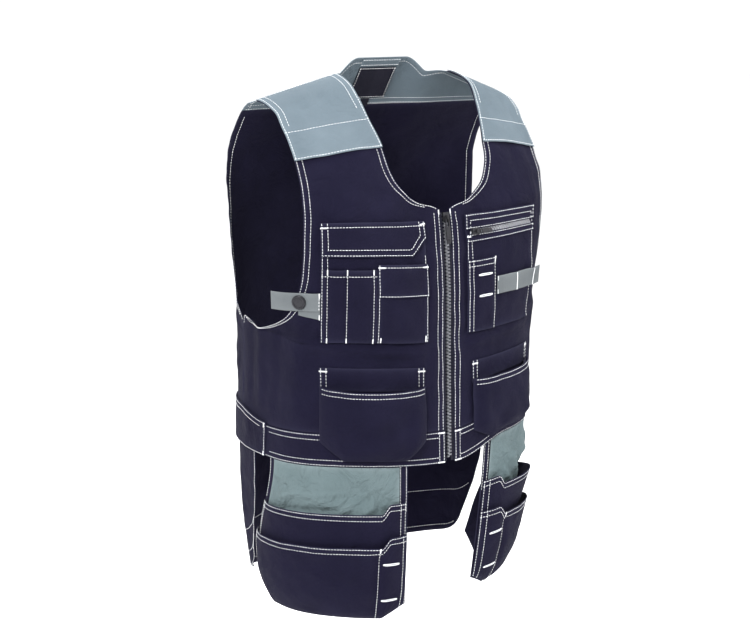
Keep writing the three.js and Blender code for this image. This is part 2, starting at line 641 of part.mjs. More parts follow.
// Lower bellows pockets: a strip above each mouth, and a hollow pocket front that stands away
// from the body, with sagging mouth and chamfered lower corners.
const MOUTH_DROP = LOWER_DROP + LOWER_MOUTH;
const RIM_OUT = BAND_CLOTH + GAP + CLOTH + 0.4;
const BAG_ACROSS = [0, 0.035, 0.09, 0.17, 0.28, 0.42, 0.58, 0.72, 0.83, 0.91, 0.965, 1];
const BAG_DOWN = [0, 0.15, 0.35, 0.55, 0.72, 0.86, 0.95, 1];
const swell = (a) => Math.sin((Math.PI / 2) * clamp(a / 0.17)) ** 0.7;
const pocketRise = (a) => Math.min(swell(a), swell(1 - a));
SIDES.forEach(({ side, label }) => {
  const width = side > 0 ? LEFT_LOWER_WIDTH : LOWER_WIDTH;
  const depth = side > 0 ? LEFT_LOWER_DEPTH : LOWER_DEPTH;
  const outer = LOWER_INNER + width;
  add(`lower_pocket_strip_${label}`, layer(side, even(10), even(1), (a, b) => {
    const s = mix(LOWER_INNER, outer, a);
    return { s, q: sectionAt(side, s, mix(LOWER_DROP, LOWER_DROP + LOWER_STRIP, b)), out: TAB_OUT };
  }), NAVY);
  add(`lower_pocket_${label}`, bag(side, BAG_ACROSS, BAG_DOWN, (a, b) => {
    const s = mix(LOWER_INNER, outer, a);
    const edge = Math.min(a, 1 - a) * width;
    const end = MOUTH_DROP + LOWER_HEIGHT - 0.8 * clamp(1 - edge / LOWER_CHAMFER) * LOWER_CHAMFER;
    const mouth = MOUTH_DROP + LOWER_SAG * Math.sin(Math.PI * a);
    const down = mix(0.62, 1, ease(b / 0.55)) * Math.sqrt(1 - clamp((b - 0.7) / 0.3) ** 2.4);
    const out = RIM_OUT + depth * pocketRise(a) * down;
    return { s, q: sectionAt(side, s, mix(mouth, end, b)), out };
  }), NAVY);
});

// Holsters: a backing sewn inside the waistband, a pale lining at its top, and two nested
// pocket fronts that stand away from it. The inner strip of each mouth is a hammer slot.
const HOLSTER_OUT = -CLOTH - INNER_GAP;
const HOLSTER_TOP = HEM_DROP - HOLSTER_TUCK;
const holsterOuter = (drop) => HOLSTER_INNER
  + mix(HOLSTER_TOP_WIDTH, HOLSTER_WIDTH, ease((drop - HEM_DROP) / 150));
const HOLSTER_END = HEM_DROP + HANG_DROP + 5;
const holsterColumns = [0, 0.05, 0.1, 0.16, 0.24, 0.33, 0.42, 0.51, 0.6, 0.69, 0.78, 0.87, 0.95, 1];
function holsterBottom(a) {
  const inner = clamp(1 - (a * HOLSTER_WIDTH) / HOLSTER_CHAMFER) * 0.65;
  const outer = clamp(1 - ((1 - a) * HOLSTER_WIDTH) / (1.4 * HOLSTER_CHAMFER));
  return HOLSTER_END - (inner + outer) * HOLSTER_CHAMFER;
}
function holsterPlace(side, a, drop, out, margin = 0) {
  const s = mix(HOLSTER_INNER + margin, holsterOuter(drop) - margin, a);
  const sway = side > 0 ? LEFT_SWAY * clamp((drop - HEM_DROP) / HANG_DROP) : 0;
  return { s, q: sectionAt(side, s, drop), out: out - sway };
}
const stepUp = (a) => MOUTH_STEP * (1 - ease((a * HOLSTER_WIDTH - HAMMER_WIDTH + 14) / 14));
SIDES.forEach(({ side, label }) => {
  add(`holster_back_${label}`, layer(side, holsterColumns, even(6), (a, b) => (
    holsterPlace(side, a, mix(HOLSTER_TOP, holsterBottom(a), b), HOLSTER_OUT))), NAVY);
  add(`holster_lining_${label}`, layer(side, holsterColumns, even(2), (a, b) => (
    holsterPlace(side, a, mix(HEM_DROP + 1, HEM_DROP + UPPER_MOUTH + 20, b),
      HOLSTER_OUT + CLOTH + 2.6 * GAP, HOLSTER_BINDING)), THIN_CLOTH), LINING);
  const gape = (a) => (side > 0 ? LEFT_GAPE * ease(a / 0.5) * ease((1 - a) / 0.3) : 0);
  const rim = HOLSTER_OUT + 2 * CLOTH + GAP;
  add(`holster_pocket_upper_${label}`, bag(side, holsterColumns, even(3), (a, b) => {
    const mouth = HEM_DROP + UPPER_MOUTH - stepUp(a);
    const drop = mix(mouth, HEM_DROP + LOWER_HOLSTER_MOUTH + 16, b);
    const depth = (UPPER_DEPTH + gape(a) * (1 - b)) * pocketRise(a);
    return holsterPlace(side, a, drop, rim + depth, 3);
  }), NAVY);
  add(`holster_pocket_lower_${label}`, bag(side, holsterColumns, even(6), (a, b) => {
    const mouth = HEM_DROP + LOWER_HOLSTER_MOUTH - stepUp(a);
    const drop = mix(mouth, holsterBottom(a) - 2, b);
    const close = Math.sqrt(1 - clamp((b - 0.45) / 0.55) ** 2);
    const depth = (LOWER_HOLSTER_DEPTH + gape(a) * 0.4 * (1 - b)) * pocketRise(a) * close;
    const over = (CLOTH + GAP) * (1 - b ** 2);
    return holsterPlace(side, a, drop, rim + over + depth, 1);
  }), NAVY);
});

// Hanger strip, blank label patch and blank size tab inside the back neck.
const INSIDE_OUT = -THIN_CLOTH - GAP;
function inside(half, top, height, rows) {
  return layer(1, even(4), even(rows), (a, b) => behind(
    mix(-half, half, a), sectionOf(-mix(top, top + height, b)), INSIDE_OUT), THIN_CLOTH);
}
const LABEL_TOP = BACK_NECK_DROP + HANGER_HEIGHT + 3;
add('hanger_strip', inside(HANGER_HALF, BACK_NECK_DROP + 1, HANGER_HEIGHT, 1), GREY);
add('label_patch', inside(LABEL_HALF, LABEL_TOP, LABEL_HEIGHT, 3), TAPE);
add('size_tab', inside(SIZE_TAB_HALF, LABEL_TOP + LABEL_HEIGHT + 1, SIZE_TAB_HEIGHT, 1), TAPE);

// Zip slider: a rounded body with a bridge over it, and a puller whose end bar turns under
// the bridge. Both are made with the bar's middle at the origin and the chain below it.
const BRIDGE_WIRE = 1.2;
const PIN_CLEARANCE = 0.6;
const BRIDGE_SPAN = 2 * (PULLER_PIN / 2 + PIN_CLEARANCE + BRIDGE_WIRE);
const BAR_HEIGHT = SLIDER_HEIGHT + PULLER_PIN / 2 + PIN_CLEARANCE;
const SLOT_HALF = BRIDGE_WIRE + 0.6;
function solid(geometry) {
  const plain = geometry.clone();
  plain.deleteAttribute('normal');
  plain.deleteAttribute('uv');
  const merged = mergeVertices(plain, 1e-4);
  return new wasm.Manifold(new wasm.Mesh({
    numProp: 3,
    vertProperties: merged.attributes.position.array,
    triVerts: Uint32Array.from(merged.index.array),
  }));
}
function geometryFrom(body) {
  const { vertProperties, triVerts } = body.getMesh();
  const geometry = new THREE.BufferGeometry();
  geometry.setAttribute('position', new THREE.BufferAttribute(vertProperties, 3));
  geometry.setIndex(new THREE.BufferAttribute(triVerts, 1));
  return geometry;
}
const block = (x, y, z, dx, dy, dz) => solid(new THREE.BoxGeometry(dx, dy, dz).translate(x, y, z));
function sliderGeometry(width, length) {
  const outline = new THREE.Shape();
  const half = width / 2;
  outline.moveTo(-half, length / 2);
  outline.lineTo(half, length / 2);
  outline.lineTo(half, -0.1 * length);
  outline.quadraticCurveTo(half, -length / 2, 0.35 * half, -length / 2);
  outline.lineTo(-0.35 * half, -length / 2);
  outline.quadraticCurveTo(-half, -length / 2, -half, -0.1 * length);
  const plate = new THREE.ExtrudeGeometry(outline, {
    depth: SLIDER_HEIGHT, bevelEnabled: false, curveSegments: 4,
  }).rotateX(Math.PI / 2).translate(0, BAR_HEIGHT, 0);
  const legs = BRIDGE_SPAN / 2 - BRIDGE_WIRE / 2;
  const top = PULLER_PIN / 2 + PIN_CLEARANCE;
  const tall = SLIDER_HEIGHT / 2 + BAR_HEIGHT - SLIDER_HEIGHT + top + BRIDGE_WIRE;
  const middle = BAR_HEIGHT - SLIDER_HEIGHT / 2 - tall / 2;
  const legAt = (z) => block(0, middle, z, BRIDGE_WIRE * 2, tall, BRIDGE_WIRE);
  const span = block(0, -top - BRIDGE_WIRE / 2, 0, BRIDGE_WIRE * 2, BRIDGE_WIRE, BRIDGE_SPAN);
  return geometryFrom(solid(plate).add(legAt(legs)).add(legAt(-legs)).add(span));
}
function pullerGeometry(width, length) {
  const outline = new THREE.Shape();
  const half = width / 2;
  outline.moveTo(-0.72 * half, PULLER_PIN / 2);
  outline.lineTo(0.72 * half, PULLER_PIN / 2);
  outline.lineTo(half, -0.6 * length);
  outline.quadraticCurveTo(half, -length, 0.4 * half, -length);
  outline.lineTo(-0.4 * half, -length);
  outline.quadraticCurveTo(-half, -length, -half, -0.6 * length);
  const slot = new THREE.Path();
  slot.moveTo(-SLOT_HALF, -PULLER_PIN / 2);
  slot.lineTo(-SLOT_HALF, -0.34 * length);
  slot.lineTo(SLOT_HALF, -0.34 * length);
  slot.lineTo(SLOT_HALF, -PULLER_PIN / 2);
  outline.holes.push(slot);
  const plate = new THREE.ExtrudeGeometry(outline, {
    depth: PULLER_THICKNESS, bevelEnabled: false, curveSegments: 5,
  });
  plate.translate(0, 0, -PULLER_THICKNESS / 2).rotateX(Math.PI / 2);
  const hole = new THREE.CylinderGeometry(0.3 * half, 0.3 * half, 2 * PULLER_THICKNESS, 12);
  hole.translate(0, 0, -0.86 * length);
  return geometryFrom(solid(plate).subtract(solid(hole)));
}
const SLIDER_GAP = 0.4;
const CHEST_ZIP_END = LEFT_INNER + 14 + SLIDER_LENGTH / 2;
const sliderSeats = [
  {
    name: 'zip', side: 1, s: 0, drop: ZIP_TOP + SLIDER_LENGTH / 2, turn: 0, length: PULLER_LENGTH,
    width: PULLER_WIDTH, base: CHAIN_OUT + CHAIN_HEIGHT + TOOTH_HEIGHT + SLIDER_GAP,
  },
  {
    name: 'chest_zip', side: 1, s: CHEST_ZIP_END - SLIDER_LENGTH / 2, drop: CHEST_ZIP_DROP, turn: -Math.PI / 2,
    length: CHEST_PULLER_LENGTH, width: PULLER_WIDTH - 1,
    base: SECOND_OUT + CLOTH + TOOTH_HEIGHT + chestPuff(CHEST_ZIP_END, CHEST_ZIP_DROP) + SLIDER_GAP,
  },
];
sliderSeats.forEach(({ name, side, s, drop, turn, length, width, base }) => {
  const out = base + BAR_HEIGHT;
  const slider = add(`${name}_slider`, sliderGeometry(SLIDER_WIDTH, SLIDER_LENGTH), BLACK, 0.4, 0.5);
  seat(slider, side, s, drop, out, turn);
  const puller = add(`${name}_puller`, pullerGeometry(width, length), BLACK, 0.4, 0.5);
  seat(puller, side, s, drop, out, turn);
});

// Snap on the right adjuster: a cap with a rolled edge.
const snapProfile = [
  [0, 0], [SNAP_RADIUS, 0], [SNAP_RADIUS, 0.5 * SNAP_HEIGHT], [0.9 * SNAP_RADIUS, SNAP_HEIGHT],
  [0.75 * SNAP_RADIUS, SNAP_HEIGHT], [0.65 * SNAP_RADIUS, 0.65 * SNAP_HEIGHT],
  [0, 0.75 * SNAP_HEIGHT],
].map(([r, z]) => new THREE.Vector2(r, z));
const snapShape = new THREE.LatheGeometry(snapProfile, 16).rotateX(Math.PI);
seat(add('snap_button_right', snapShape, METAL, 0.4, 0.8), -1,
  CHEST_OUTER + SNAP_REACH, TAB_DROP + ELASTIC_WIDTH / 2, TAB_OUT + 2 * ELASTIC + 2 * GAP);

export default group;
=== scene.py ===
import math

import bpy
import numpy as np
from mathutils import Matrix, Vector


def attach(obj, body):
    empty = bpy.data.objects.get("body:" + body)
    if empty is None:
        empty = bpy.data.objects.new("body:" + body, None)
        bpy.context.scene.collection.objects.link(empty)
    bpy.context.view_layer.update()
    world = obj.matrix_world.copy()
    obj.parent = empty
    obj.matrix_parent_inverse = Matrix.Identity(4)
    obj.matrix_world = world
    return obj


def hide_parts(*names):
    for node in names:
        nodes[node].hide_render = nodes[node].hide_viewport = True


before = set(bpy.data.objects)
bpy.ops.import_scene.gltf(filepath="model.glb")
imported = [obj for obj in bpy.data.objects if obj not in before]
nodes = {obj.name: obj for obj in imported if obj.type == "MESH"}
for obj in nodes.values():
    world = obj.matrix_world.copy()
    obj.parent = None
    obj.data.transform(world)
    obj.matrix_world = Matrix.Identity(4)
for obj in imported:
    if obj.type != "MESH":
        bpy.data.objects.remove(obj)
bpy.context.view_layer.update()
scene = bpy.context.scene
bpy.ops.object.select_all(action="DESELECT")

# Camera, on the wearer's front right, level with the chest's upper part and a little above
# the shoulders, with a long lens.
camera_data = bpy.data.cameras.new("camera")
camera_data.lens = 88.9
camera_data.sensor_width = 36.0
camera_data.clip_start = 0.1
camera_data.clip_end = 100.0
camera = bpy.data.objects.new("camera", camera_data)
scene.collection.objects.link(camera)
camera.location = (-1.478, -2.1475, 0.123)
camera.rotation_euler = (math.radians(79.65), 0.0, math.radians(-34.0))
scene.camera = camera

# Cut of the vest. Every panel is twill that hangs on the same body, so a place on it is
# given as the pattern maker gives it: how far around, and how far below the shoulder, in mm.
BODY_DROP = 530.0
HANG_DROP = 215.0
HALF_WIDTH = 206.0
FRONT_DEPTH = 140.0
BACK_DEPTH = 236.0
NECK_HALF = 94.0
NECK_DROP = 182.0
SHOULDER_HALF = 207.0
BACK_SHOULDER_HALF = 216.0
SHOULDER_SLOPE = 0.31
SHOULDER_SWEEP = 32.0
COLLAR_RISE = 34.0
ARMHOLE_DROP = 350.0
SIDE_SEAM = 350.0
SIDE_RISE = 8.0
HEM_LIFT = 22.0
YOKE_DEPTH = 47.0
PATCH_DROP = 98.0
CLOTH = 1.2
BAND_CLOTH = 2.4
GAP = 0.5
BAND_DROP = 483.0
HEM_DROP = 529.0
ZIP_EDGE = 8.5
SIDES = ((-1, "right"), (1, "left"))

# Level sections: drop, half width, front, back, squareness, share of the shoulder's slope.
body_rows = [
    (0.0, 1.165, 0.0, 0.0, 5.0, 1.0),
    (0.023, 1.165, 0.314, 0.102, 5.0, 0.97),
    (0.085, 1.165, 0.5, 0.229, 5.0, 0.84),
    (0.174, 1.165, 0.679, 0.39, 4.2, 0.55),
    (0.283, 1.146, 0.829, 0.551, 3.3, 0.16),
    (0.406, 1.117, 0.921, 0.678, 2.75, 0.0),
    (0.547, 1.068, 0.964, 0.788, 2.45, 0.0),
    (0.698, 1.019, 0.971, 0.869, 2.35, 0.0),
    (0.868, 1.01, 0.986, 0.945, 2.3, 0.0),
    (1.02, 1.0, 1.0, 1.0, 2.25, 0.0),
]
hang_rows = [
    (0.42, 0.985, 0.993, 1.0, 2.2, 0.0),
    (0.74, 0.951, 0.979, 0.975, 2.15, 0.0),
    (1.08, 0.893, 0.957, 0.932, 2.1, 0.0),
]
levels = [(-r[0] * BODY_DROP, *r[1:]) for r in body_rows]
levels += [(-BODY_DROP - r[0] * HANG_DROP, *r[1:]) for r in hang_rows]
form = np.array(levels) * np.array([1, HALF_WIDTH, FRONT_DEPTH, BACK_DEPTH, 1, 1])
last_row = len(form) - 1


def ease(t):
    t = np.clip(t, 0.0, 1.0)
    return t * t * (3.0 - 2.0 * t)


def mix(a, b, t):
    return a + (b - a) * t


def form_at(q):
    q = np.asarray(q, float)
    i = np.minimum(np.floor(q).astype(int), last_row - 1)
    t = (q - i)[..., None]

    def row(k):
        found = form[np.minimum(np.abs(k), last_row)].copy()
        found[k < 0, 2:4] *= -1
        return found

    a, b, c, d = (row(i + k) for k in (-1, 0, 1, 2))
    curve = 2 * b + (c - a) * t + (2 * a - 5 * b + 4 * c - d) * t * t
    return 0.5 * (curve + (3 * b - a - 3 * c + d) * t**3)


turn = np.linspace(0.0, math.pi / 2, 161)
sine = np.sin(turn)
cosine = np.clip(np.cos(turn), 0.0, 1.0)


class Ring:
    """One level section, from the centre front round to the centre back."""

    def __init__(self, q):
        level, half, front, back, square, slope = form_at(np.array([q]))[0]
        x = half * sine ** (2 / square)
        sweep = (np.abs(x) - NECK_HALF) / (SHOULDER_HALF - NECK_HALF)
        sweep = SHOULDER_SWEEP * slope * np.clip(sweep, 0, 1.3)
        front_y = -front * cosine ** (2 / square) + sweep
        back_y = back * cosine ** (2 / square) + sweep
        step = np.hypot(np.diff(x), np.diff(front_y))
        back_step = np.hypot(np.diff(x), np.diff(back_y))[::-1]
        self.x = np.concatenate([x, x[::-1][1:]])
        self.y = np.concatenate([front_y, back_y[::-1][1:]])
        self.along = np.concatenate([[0], np.cumsum(step), step.sum() + np.cumsum(back_step)])
        self.whole = self.along[-1]
        self.level = level
        self.slope = slope

    def point(self, s):
        folded = np.where(s > self.whole, 2 * self.whole - s, np.abs(s))
        mirror = np.where((s < 0) | (s > self.whole), -1.0, 1.0)
        x = np.interp(folded, self.along, self.x)
        y = np.interp(folded, self.along, self.y)
        fall = np.where(x > NECK_HALF, SHOULDER_SLOPE * (x - NECK_HALF), 0)
        rise = COLLAR_RISE * (1 - ease((x - 0.42 * NECK_HALF) / (0.58 * NECK_HALF)))
        return np.stack([mirror * x, y, self.level + (rise - fall) * self.slope], -1)


Q_STEP = 0.01
S_STEP = 2.0
S_LOW = -14.0
sections = np.arange(0, last_row + 1e-9, Q_STEP)
level_of = form_at(np.minimum(sections, last_row - 1e-9))[:, 0]
places = np.arange(S_LOW, 470.0, S_STEP)
girths = []
front_map = []
back_map = []
for q in sections:
    here, above, below = (Ring(q + dq) for dq in (0.0, -0.02, 0.02))
    girths.append(here.whole)
    for sheet, s in ((front_map, places), (back_map, here.whole - places)):
        across = here.point(s + 1.5) - here.point(s - 1.5)
        down = below.point(s) - above.point(s)
        normal = np.cross(down, across)
        normal /= np.linalg.norm(normal, axis=-1, keepdims=True)
        sheet.append(np.concatenate([here.point(s), normal], -1))
girths = np.array(girths)
front_map = np.array(front_map)
back_map = np.array(back_map)


def on_body(side, s, q, out, back=False):
    """Places in metres: s mm around from the centre front or back, out mm off the body."""
    table = back_map if back else front_map
    row = np.clip(q / Q_STEP, 0, len(table) - 1.001)
    col = np.clip((s - S_LOW) / S_STEP, 0, table.shape[1] - 1.001)
    i, j = row.astype(int), col.astype(int)
    u, v = (row - i)[..., None], (col - j)[..., None]
    upper = mix(table[i, j], table[i, j + 1], v)
    lower = mix(table[i + 1, j], table[i + 1, j + 1], v)
    both = mix(upper, lower, u)
    normal = both[..., 3:] / np.linalg.norm(both[..., 3:], axis=-1, keepdims=True)
    spot = both[..., :3] + normal * np.asarray(out)[..., None]
    spot[..., 0] *= side
    return spot * 0.001


def girth(q):
    return np.interp(q, sections, girths)


def section_of(level):
    return np.interp(-level, -level_of, sections)


def at_drop(side, s, drop):
    lift = SIDE_RISE * ease(s / (0.92 * SHOULDER_HALF)) * ease(drop / PATCH_DROP)
    left = ease((s - ZIP_EDGE) / 100) * (1 - ease((s - 180) / 100))
    left = left * ease((drop - 0.7 * BODY_DROP) / (0.3 * BODY_DROP))
    lift = lift + np.where(np.asarray(side) > 0, 1.0, 0.0) * HEM_LIFT * left * (
        1 - 0.4 * ease((drop - HEM_DROP) / 50))
    return section_of(lift - drop)


def back_at(drop):
    return at_drop(-1, SHOULDER_HALF, drop)


FOLD_RISE = 1.6
SLACK_RISE = 0.5
ROUNDED_EDGE = 0.6
RIM_SHARE = 0.3


def folds(s, drop, table):
    """Soft folds of the cloth, as ridges and dips along short lines of the pattern."""
    total = np.zeros(np.broadcast(s, drop).shape)
    for s0, d0, s1, d1, wide, high in table:
        run = (s1 - s0) ** 2 + (d1 - d0) ** 2
        t = np.clip(((s - s0) * (s1 - s0) + (drop - d0) * (d1 - d0)) / run, 0, 1)
        off = np.hypot(s - s0 - t * (s1 - s0), drop - d0 - t * (d1 - d0))
        total = total + FOLD_RISE * high * np.exp(-((off / wide) ** 2))
    return total


def slack(s, drop, seed, size=1.0):
    """Small unevenness of sewn cloth, the same each time for one piece."""
    total = 0.0
    for k in range(5):
        a = 2.399 * (k + 1) + 1.7 * seed
        wave = 70.0 / (1 + 0.55 * k)
        phase = 3.1 * seed + 1.3 * k
        across = (s * math.cos(a) + drop * math.sin(a)) / wave
        total = total + np.sin(2 * math.pi * across + phase) / (1.3 + 0.5 * k)
    return SLACK_RISE * size * total


def spaced(length, step):
    """Shares along an edge of some length, close together at both rounded ends."""
    share = ROUNDED_EDGE / length
    inner = np.linspace(0, 1, max(3, round(length / step)) + 1)[1:-1]
    return np.concatenate([[0, share], inner, [1 - share, 1]])


def wall_faces(rows, columns):
    index = np.arange(rows * columns).reshape(rows, columns)
    a, b = index[:-1, :-1].ravel(), index[:-1, 1:].ravel()
    c, d = index[1:, 1:].ravel(), index[1:, :-1].ravel()
    outer = np.stack([a, b, c, d], 1)
    inner = np.stack([a, d, c, b], 1) + rows * columns
    edge = np.concatenate([index[0, :-1], index[:-1, -1], index[-1, :0:-1], index[:0:-1, 0]])
    far = np.roll(edge, -1)
    rim = np.stack([far, edge, edge + rows * columns, far + rows * columns], 1)
    return np.concatenate([outer, inner, rim])


def mesh_object(name, points, faces, smooth=True):
    mesh = bpy.data.meshes.new(name)
    mesh.from_pydata(points, [], faces)
    if smooth:
        mesh.polygons.foreach_set("use_smooth", [True] * len(mesh.polygons))
    made = bpy.data.objects.new(name, mesh)
    scene.collection.objects.link(made)
    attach(made, "vest")
    return made


class Cut:
    """A cut piece of cloth: shares across and down are placed on the body with thickness."""

    def __init__(self, name, across, down, place, thick=CLOTH, square=False):
        self.place, self.thick, self.square = place, thick, square
        self.across, self.down = np.asarray(across, float), np.asarray(down, float)
        a, b = np.meshgrid(self.across, self.down)
        rounded = np.ones_like(a)
        rounded[[0, -1], :] = RIM_SHARE
        rounded[:, [0, -1]] = RIM_SHARE
        side, s, q, out, back = place(a, b)
        if square:
            outer = on_body(side, s, q, out, back)
            inner = outer - self.facing(outer) * thick * 0.001
            middle = (outer + inner) / 2
            outer = middle + (outer - middle) * rounded[..., None]
            inner = middle + (inner - middle) * rounded[..., None]
        else:
            outer = on_body(side, s, q, out + thick * (0.5 + 0.5 * rounded), back)
            inner = on_body(side, s, q, out + thick * (0.5 - 0.5 * rounded), back)
        rows, columns = a.shape
        faces = wall_faces(rows, columns)
        points = np.concatenate([outer.reshape(-1, 3), inner.reshape(-1, 3)])
        if back or np.mean(side) < 0:
            faces = faces[:, ::-1]
        self.over = np.concatenate([np.zeros((rows, 1)), np.cumsum(
            np.linalg.norm(np.diff(outer, axis=1), axis=-1), 1)], 1) * 1000
        self.below = np.concatenate([np.zeros((1, columns)), np.cumsum(
            np.linalg.norm(np.diff(outer, axis=0), axis=-1), 0)], 0) * 1000
        self.made = mesh_object(name, points.tolist(), faces.tolist())
        self.unwrap(a, s)

    def facing(self, grid):
        over = np.gradient(grid, axis=1)
        under = np.gradient(grid, axis=0)
        normal = np.cross(under, over)
        normal /= np.linalg.norm(normal, axis=-1, keepdims=True) + 1e-12
        centre = np.array([0.0, 0.03, 0.0])
        away = (normal[..., :2] * (grid - centre)[..., :2]).sum()
        return normal if away > 0 else -normal

    def unwrap(self, a, s):
        """Flat pattern coordinates in metres, and how near each point is to a cut edge."""
        grid = np.stack([np.asarray(s) * np.ones_like(a), self.below], -1) * 0.001
        near = np.minimum(np.minimum(self.over, self.over[:, -1:] - self.over),
                          np.minimum(self.below, self.below[-1:] - self.below))
        mesh = self.made.data
        flat = np.concatenate([grid.reshape(-1, 2)] * 2)
        corner = np.zeros(len(mesh.loops), int)
        mesh.loops.foreach_get("vertex_index", corner)
        layer = mesh.uv_layers.new(name="cut")
        layer.data.foreach_set("uv", flat[corner].ravel())
        edge = mesh.attributes.new("edge", "FLOAT", "POINT")
        near = np.concatenate([near.ravel()] * 2)
        edge.data.foreach_set("value", np.exp(-near / 3.5).astype(np.float32))

    def surface(self, a, b, inside=False):
        """Points and normals on the outer or inner face, for a path of shares."""
        face = 0.0 if inside or self.square else self.thick

        def at(u, v):
            side, s, q, out, back = self.place(u, v)
            return on_body(side, s, q, out + face, back)

        spot = at(a, b)
        ua, ub = 0.004, 0.004 * (self.down[-1] - self.down[0])
        first, last = self.across[0], self.across[-1]
        wide = at(np.clip(a + ua, first, last), b) - at(np.clip(a - ua, first, last), b)
        high, low = self.down[-1], self.down[0]
        deep = at(a, np.clip(b + ub, low, high)) - at(a, np.clip(b - ub, low, high))
        normal = np.cross(deep, wide)
        normal /= np.linalg.norm(normal, axis=-1, keepdims=True) + 1e-12
        side, s, q, out, back = self.place(a, b)
        lift = on_body(side, s, q, out + 1.0, back) - on_body(side, s, q, out, back)
        flip = np.sign((normal * lift).sum(-1, keepdims=True))
        return spot, normal * flip * (-1 if inside else 1)

    def beside(self, edge, margin, start=0.0, end=1.0, count=160):
        """A path of shares that runs beside one edge, at a margin in mm."""
        if edge in ("inner", "outer"):
            b = mix(self.down[0], self.down[-1], np.linspace(start, end, count))
            a = []
            for share in b:
                k = np.clip(np.searchsorted(self.down, share) - 1, 0, len(self.down) - 2)
                t = (share - self.down[k]) / (self.down[k + 1] - self.down[k])
                row = mix(self.over[k], self.over[k + 1], t)
                a.append(np.interp(margin if edge == "inner" else row[-1] - margin,
                                   row, self.across))
            return np.array(a), b
        a = mix(self.across[0], self.across[-1], np.linspace(start, end, count))
        b = []
        for share in a:
            k = np.clip(np.searchsorted(self.across, share) - 1, 0, len(self.across) - 2)
            t = (share - self.across[k]) / (self.across[k + 1] - self.across[k])
            column = mix(self.below[:, k], self.below[:, k + 1], t)
            b.append(np.interp(margin if edge == "top" else column[-1] - margin,
                               column, self.down))
        return a, np.array(b)


# White topstitching: a thick polyester thread in stitches of about three millimetres, sunk at
# both ends into the cloth, with dense bars of the same thread where a seam takes the strain.
STITCH_PITCH = 4.1
STITCH_LENGTH = 3.3
THREAD_WIDTH = 0.74
THREAD_HEIGHT = 0.75
THREAD_LIFT = 0.00012
TACK_PITCH = 0.75
TACK_LIFT = 0.0003
thread_rows = {}
thread_shape = np.array([
    (-0.5, 0, -0.25),
    (-0.3, -0.5, 0), (-0.3, 0, 0.5), (-0.3, 0.5, 0), (-0.3, 0, -0.4),
    (0.3, -0.5, 0), (0.3, 0, 0.5), (0.3, 0.5, 0), (0.3, 0, -0.4),
    (0.5, 0, -0.25),
])
thread_faces = np.array([
    (0, 2, 1, 1), (0, 3, 2, 2), (0, 4, 3, 3), (0, 1, 4, 4),
    (1, 2, 6, 5), (2, 3, 7, 6), (3, 4, 8, 7), (4, 1, 5, 8),
    (9, 5, 6, 6), (9, 6, 7, 7), (9, 7, 8, 8), (9, 8, 5, 5),
])


def lay_threads(group, centre, along, normal, length, width, height):
    aside = np.cross(normal, along)
    aside /= np.linalg.norm(aside, axis=-1, keepdims=True) + 1e-12
    shape = thread_shape[None]
    length, width, height = (np.asarray(v)[..., None, None] for v in (length, width, height))
    points = centre[:, None] + (
        along[:, None] * shape[..., :1] * length + aside[:, None] * shape[..., 1:2] * width
        + normal[:, None] * shape[..., 2:] * height) * 0.001
    thread_rows.setdefault(group, []).append(points.reshape(-1, 3))


def resampled(spot, normal, pitch):
    run = np.concatenate([[0], np.cumsum(np.linalg.norm(np.diff(spot, axis=0), axis=-1))]) * 1000
    count = max(1, int(run[-1] / pitch))
    marks = (np.arange(count) + 0.5) * run[-1] / count

    def at(x, v):
        return np.stack([np.interp(x, run, v[:, k]) for k in range(3)], -1)

    ahead = at(marks + 0.5, spot) - at(marks - 0.5, spot)
    ahead /= np.linalg.norm(ahead, axis=-1, keepdims=True) + 1e-12
    return at(marks, spot), ahead, at(marks, normal)


def sew(group, cut, *rows, inside=False):
    """Rows of stitches on a cut piece, each beside an edge or along a path of shares."""
    for row in rows:
        a, b = cut.beside(*row) if isinstance(row[0], str) else row
        a, b = np.broadcast_arrays(np.asarray(a, float), np.asarray(b, float))
        if len(a) < 40:
            t = np.linspace(0, len(a) - 1, 30 * (len(a) - 1) + 1)
            k = np.arange(len(a))
            a, b = np.interp(t, k, a), np.interp(t, k, b)
        spot, normal = cut.surface(a, b, inside)
        centre, ahead, up = resampled(spot, normal, STITCH_PITCH)
        wobble = 1 + 0.12 * np.sin(7.3 * np.arange(len(centre)))
        lay_threads(group, centre + up * THREAD_LIFT, ahead, up, STITCH_LENGTH * wobble,
                    THREAD_WIDTH, THREAD_HEIGHT)


def tack(group, cut, a0, b0, a1, b1, wide=2.2):
    """A bar tack: threads laid close together across a short line."""
    t = np.linspace(0, 1, 24)
    spot, normal = cut.surface(mix(a0, a1, t), mix(b0, b1, t))
    centre, ahead, up = resampled(spot, normal, TACK_PITCH)
    across = np.cross(up, ahead)
    lay_threads(group, centre + up * TACK_LIFT, across, up, wide, 0.95, 0.9)


def finish_threads(group):
    blocks = np.concatenate(thread_rows.pop(group))
    count = len(blocks) // len(thread_shape)
    faces = (np.arange(count) * len(thread_shape))[:, None, None] + thread_faces[None]
    faces = faces.reshape(-1, 4)
    listed = [f[:3].tolist() if f[2] == f[3] else f.tolist() for f in faces]
    made = mesh_object(group, blocks.tolist(), listed)
    made.data.materials.append(thread)


# Twill weave, used by every cloth piece: slanted ribs a fraction of a millimetre apart, soft
# creases from wear, and a painted highlight, a lighter tone along the sewn edges where they catch
# the light.
def node_group(name, inputs, outputs):
    group = bpy.data.node_groups.new(name, "ShaderNodeTree")
    for label, kind, value in inputs:
        socket = group.interface.new_socket(label, in_out="INPUT", socket_type=kind)
        if value is not None:
            socket.default_value = value
    for label, kind in outputs:
        group.interface.new_socket(label, in_out="OUTPUT", socket_type=kind)
    return group, group.nodes.new("NodeGroupInput"), group.nodes.new("NodeGroupOutput")


def link(tree, a, b):
    tree.links.new(a, b)


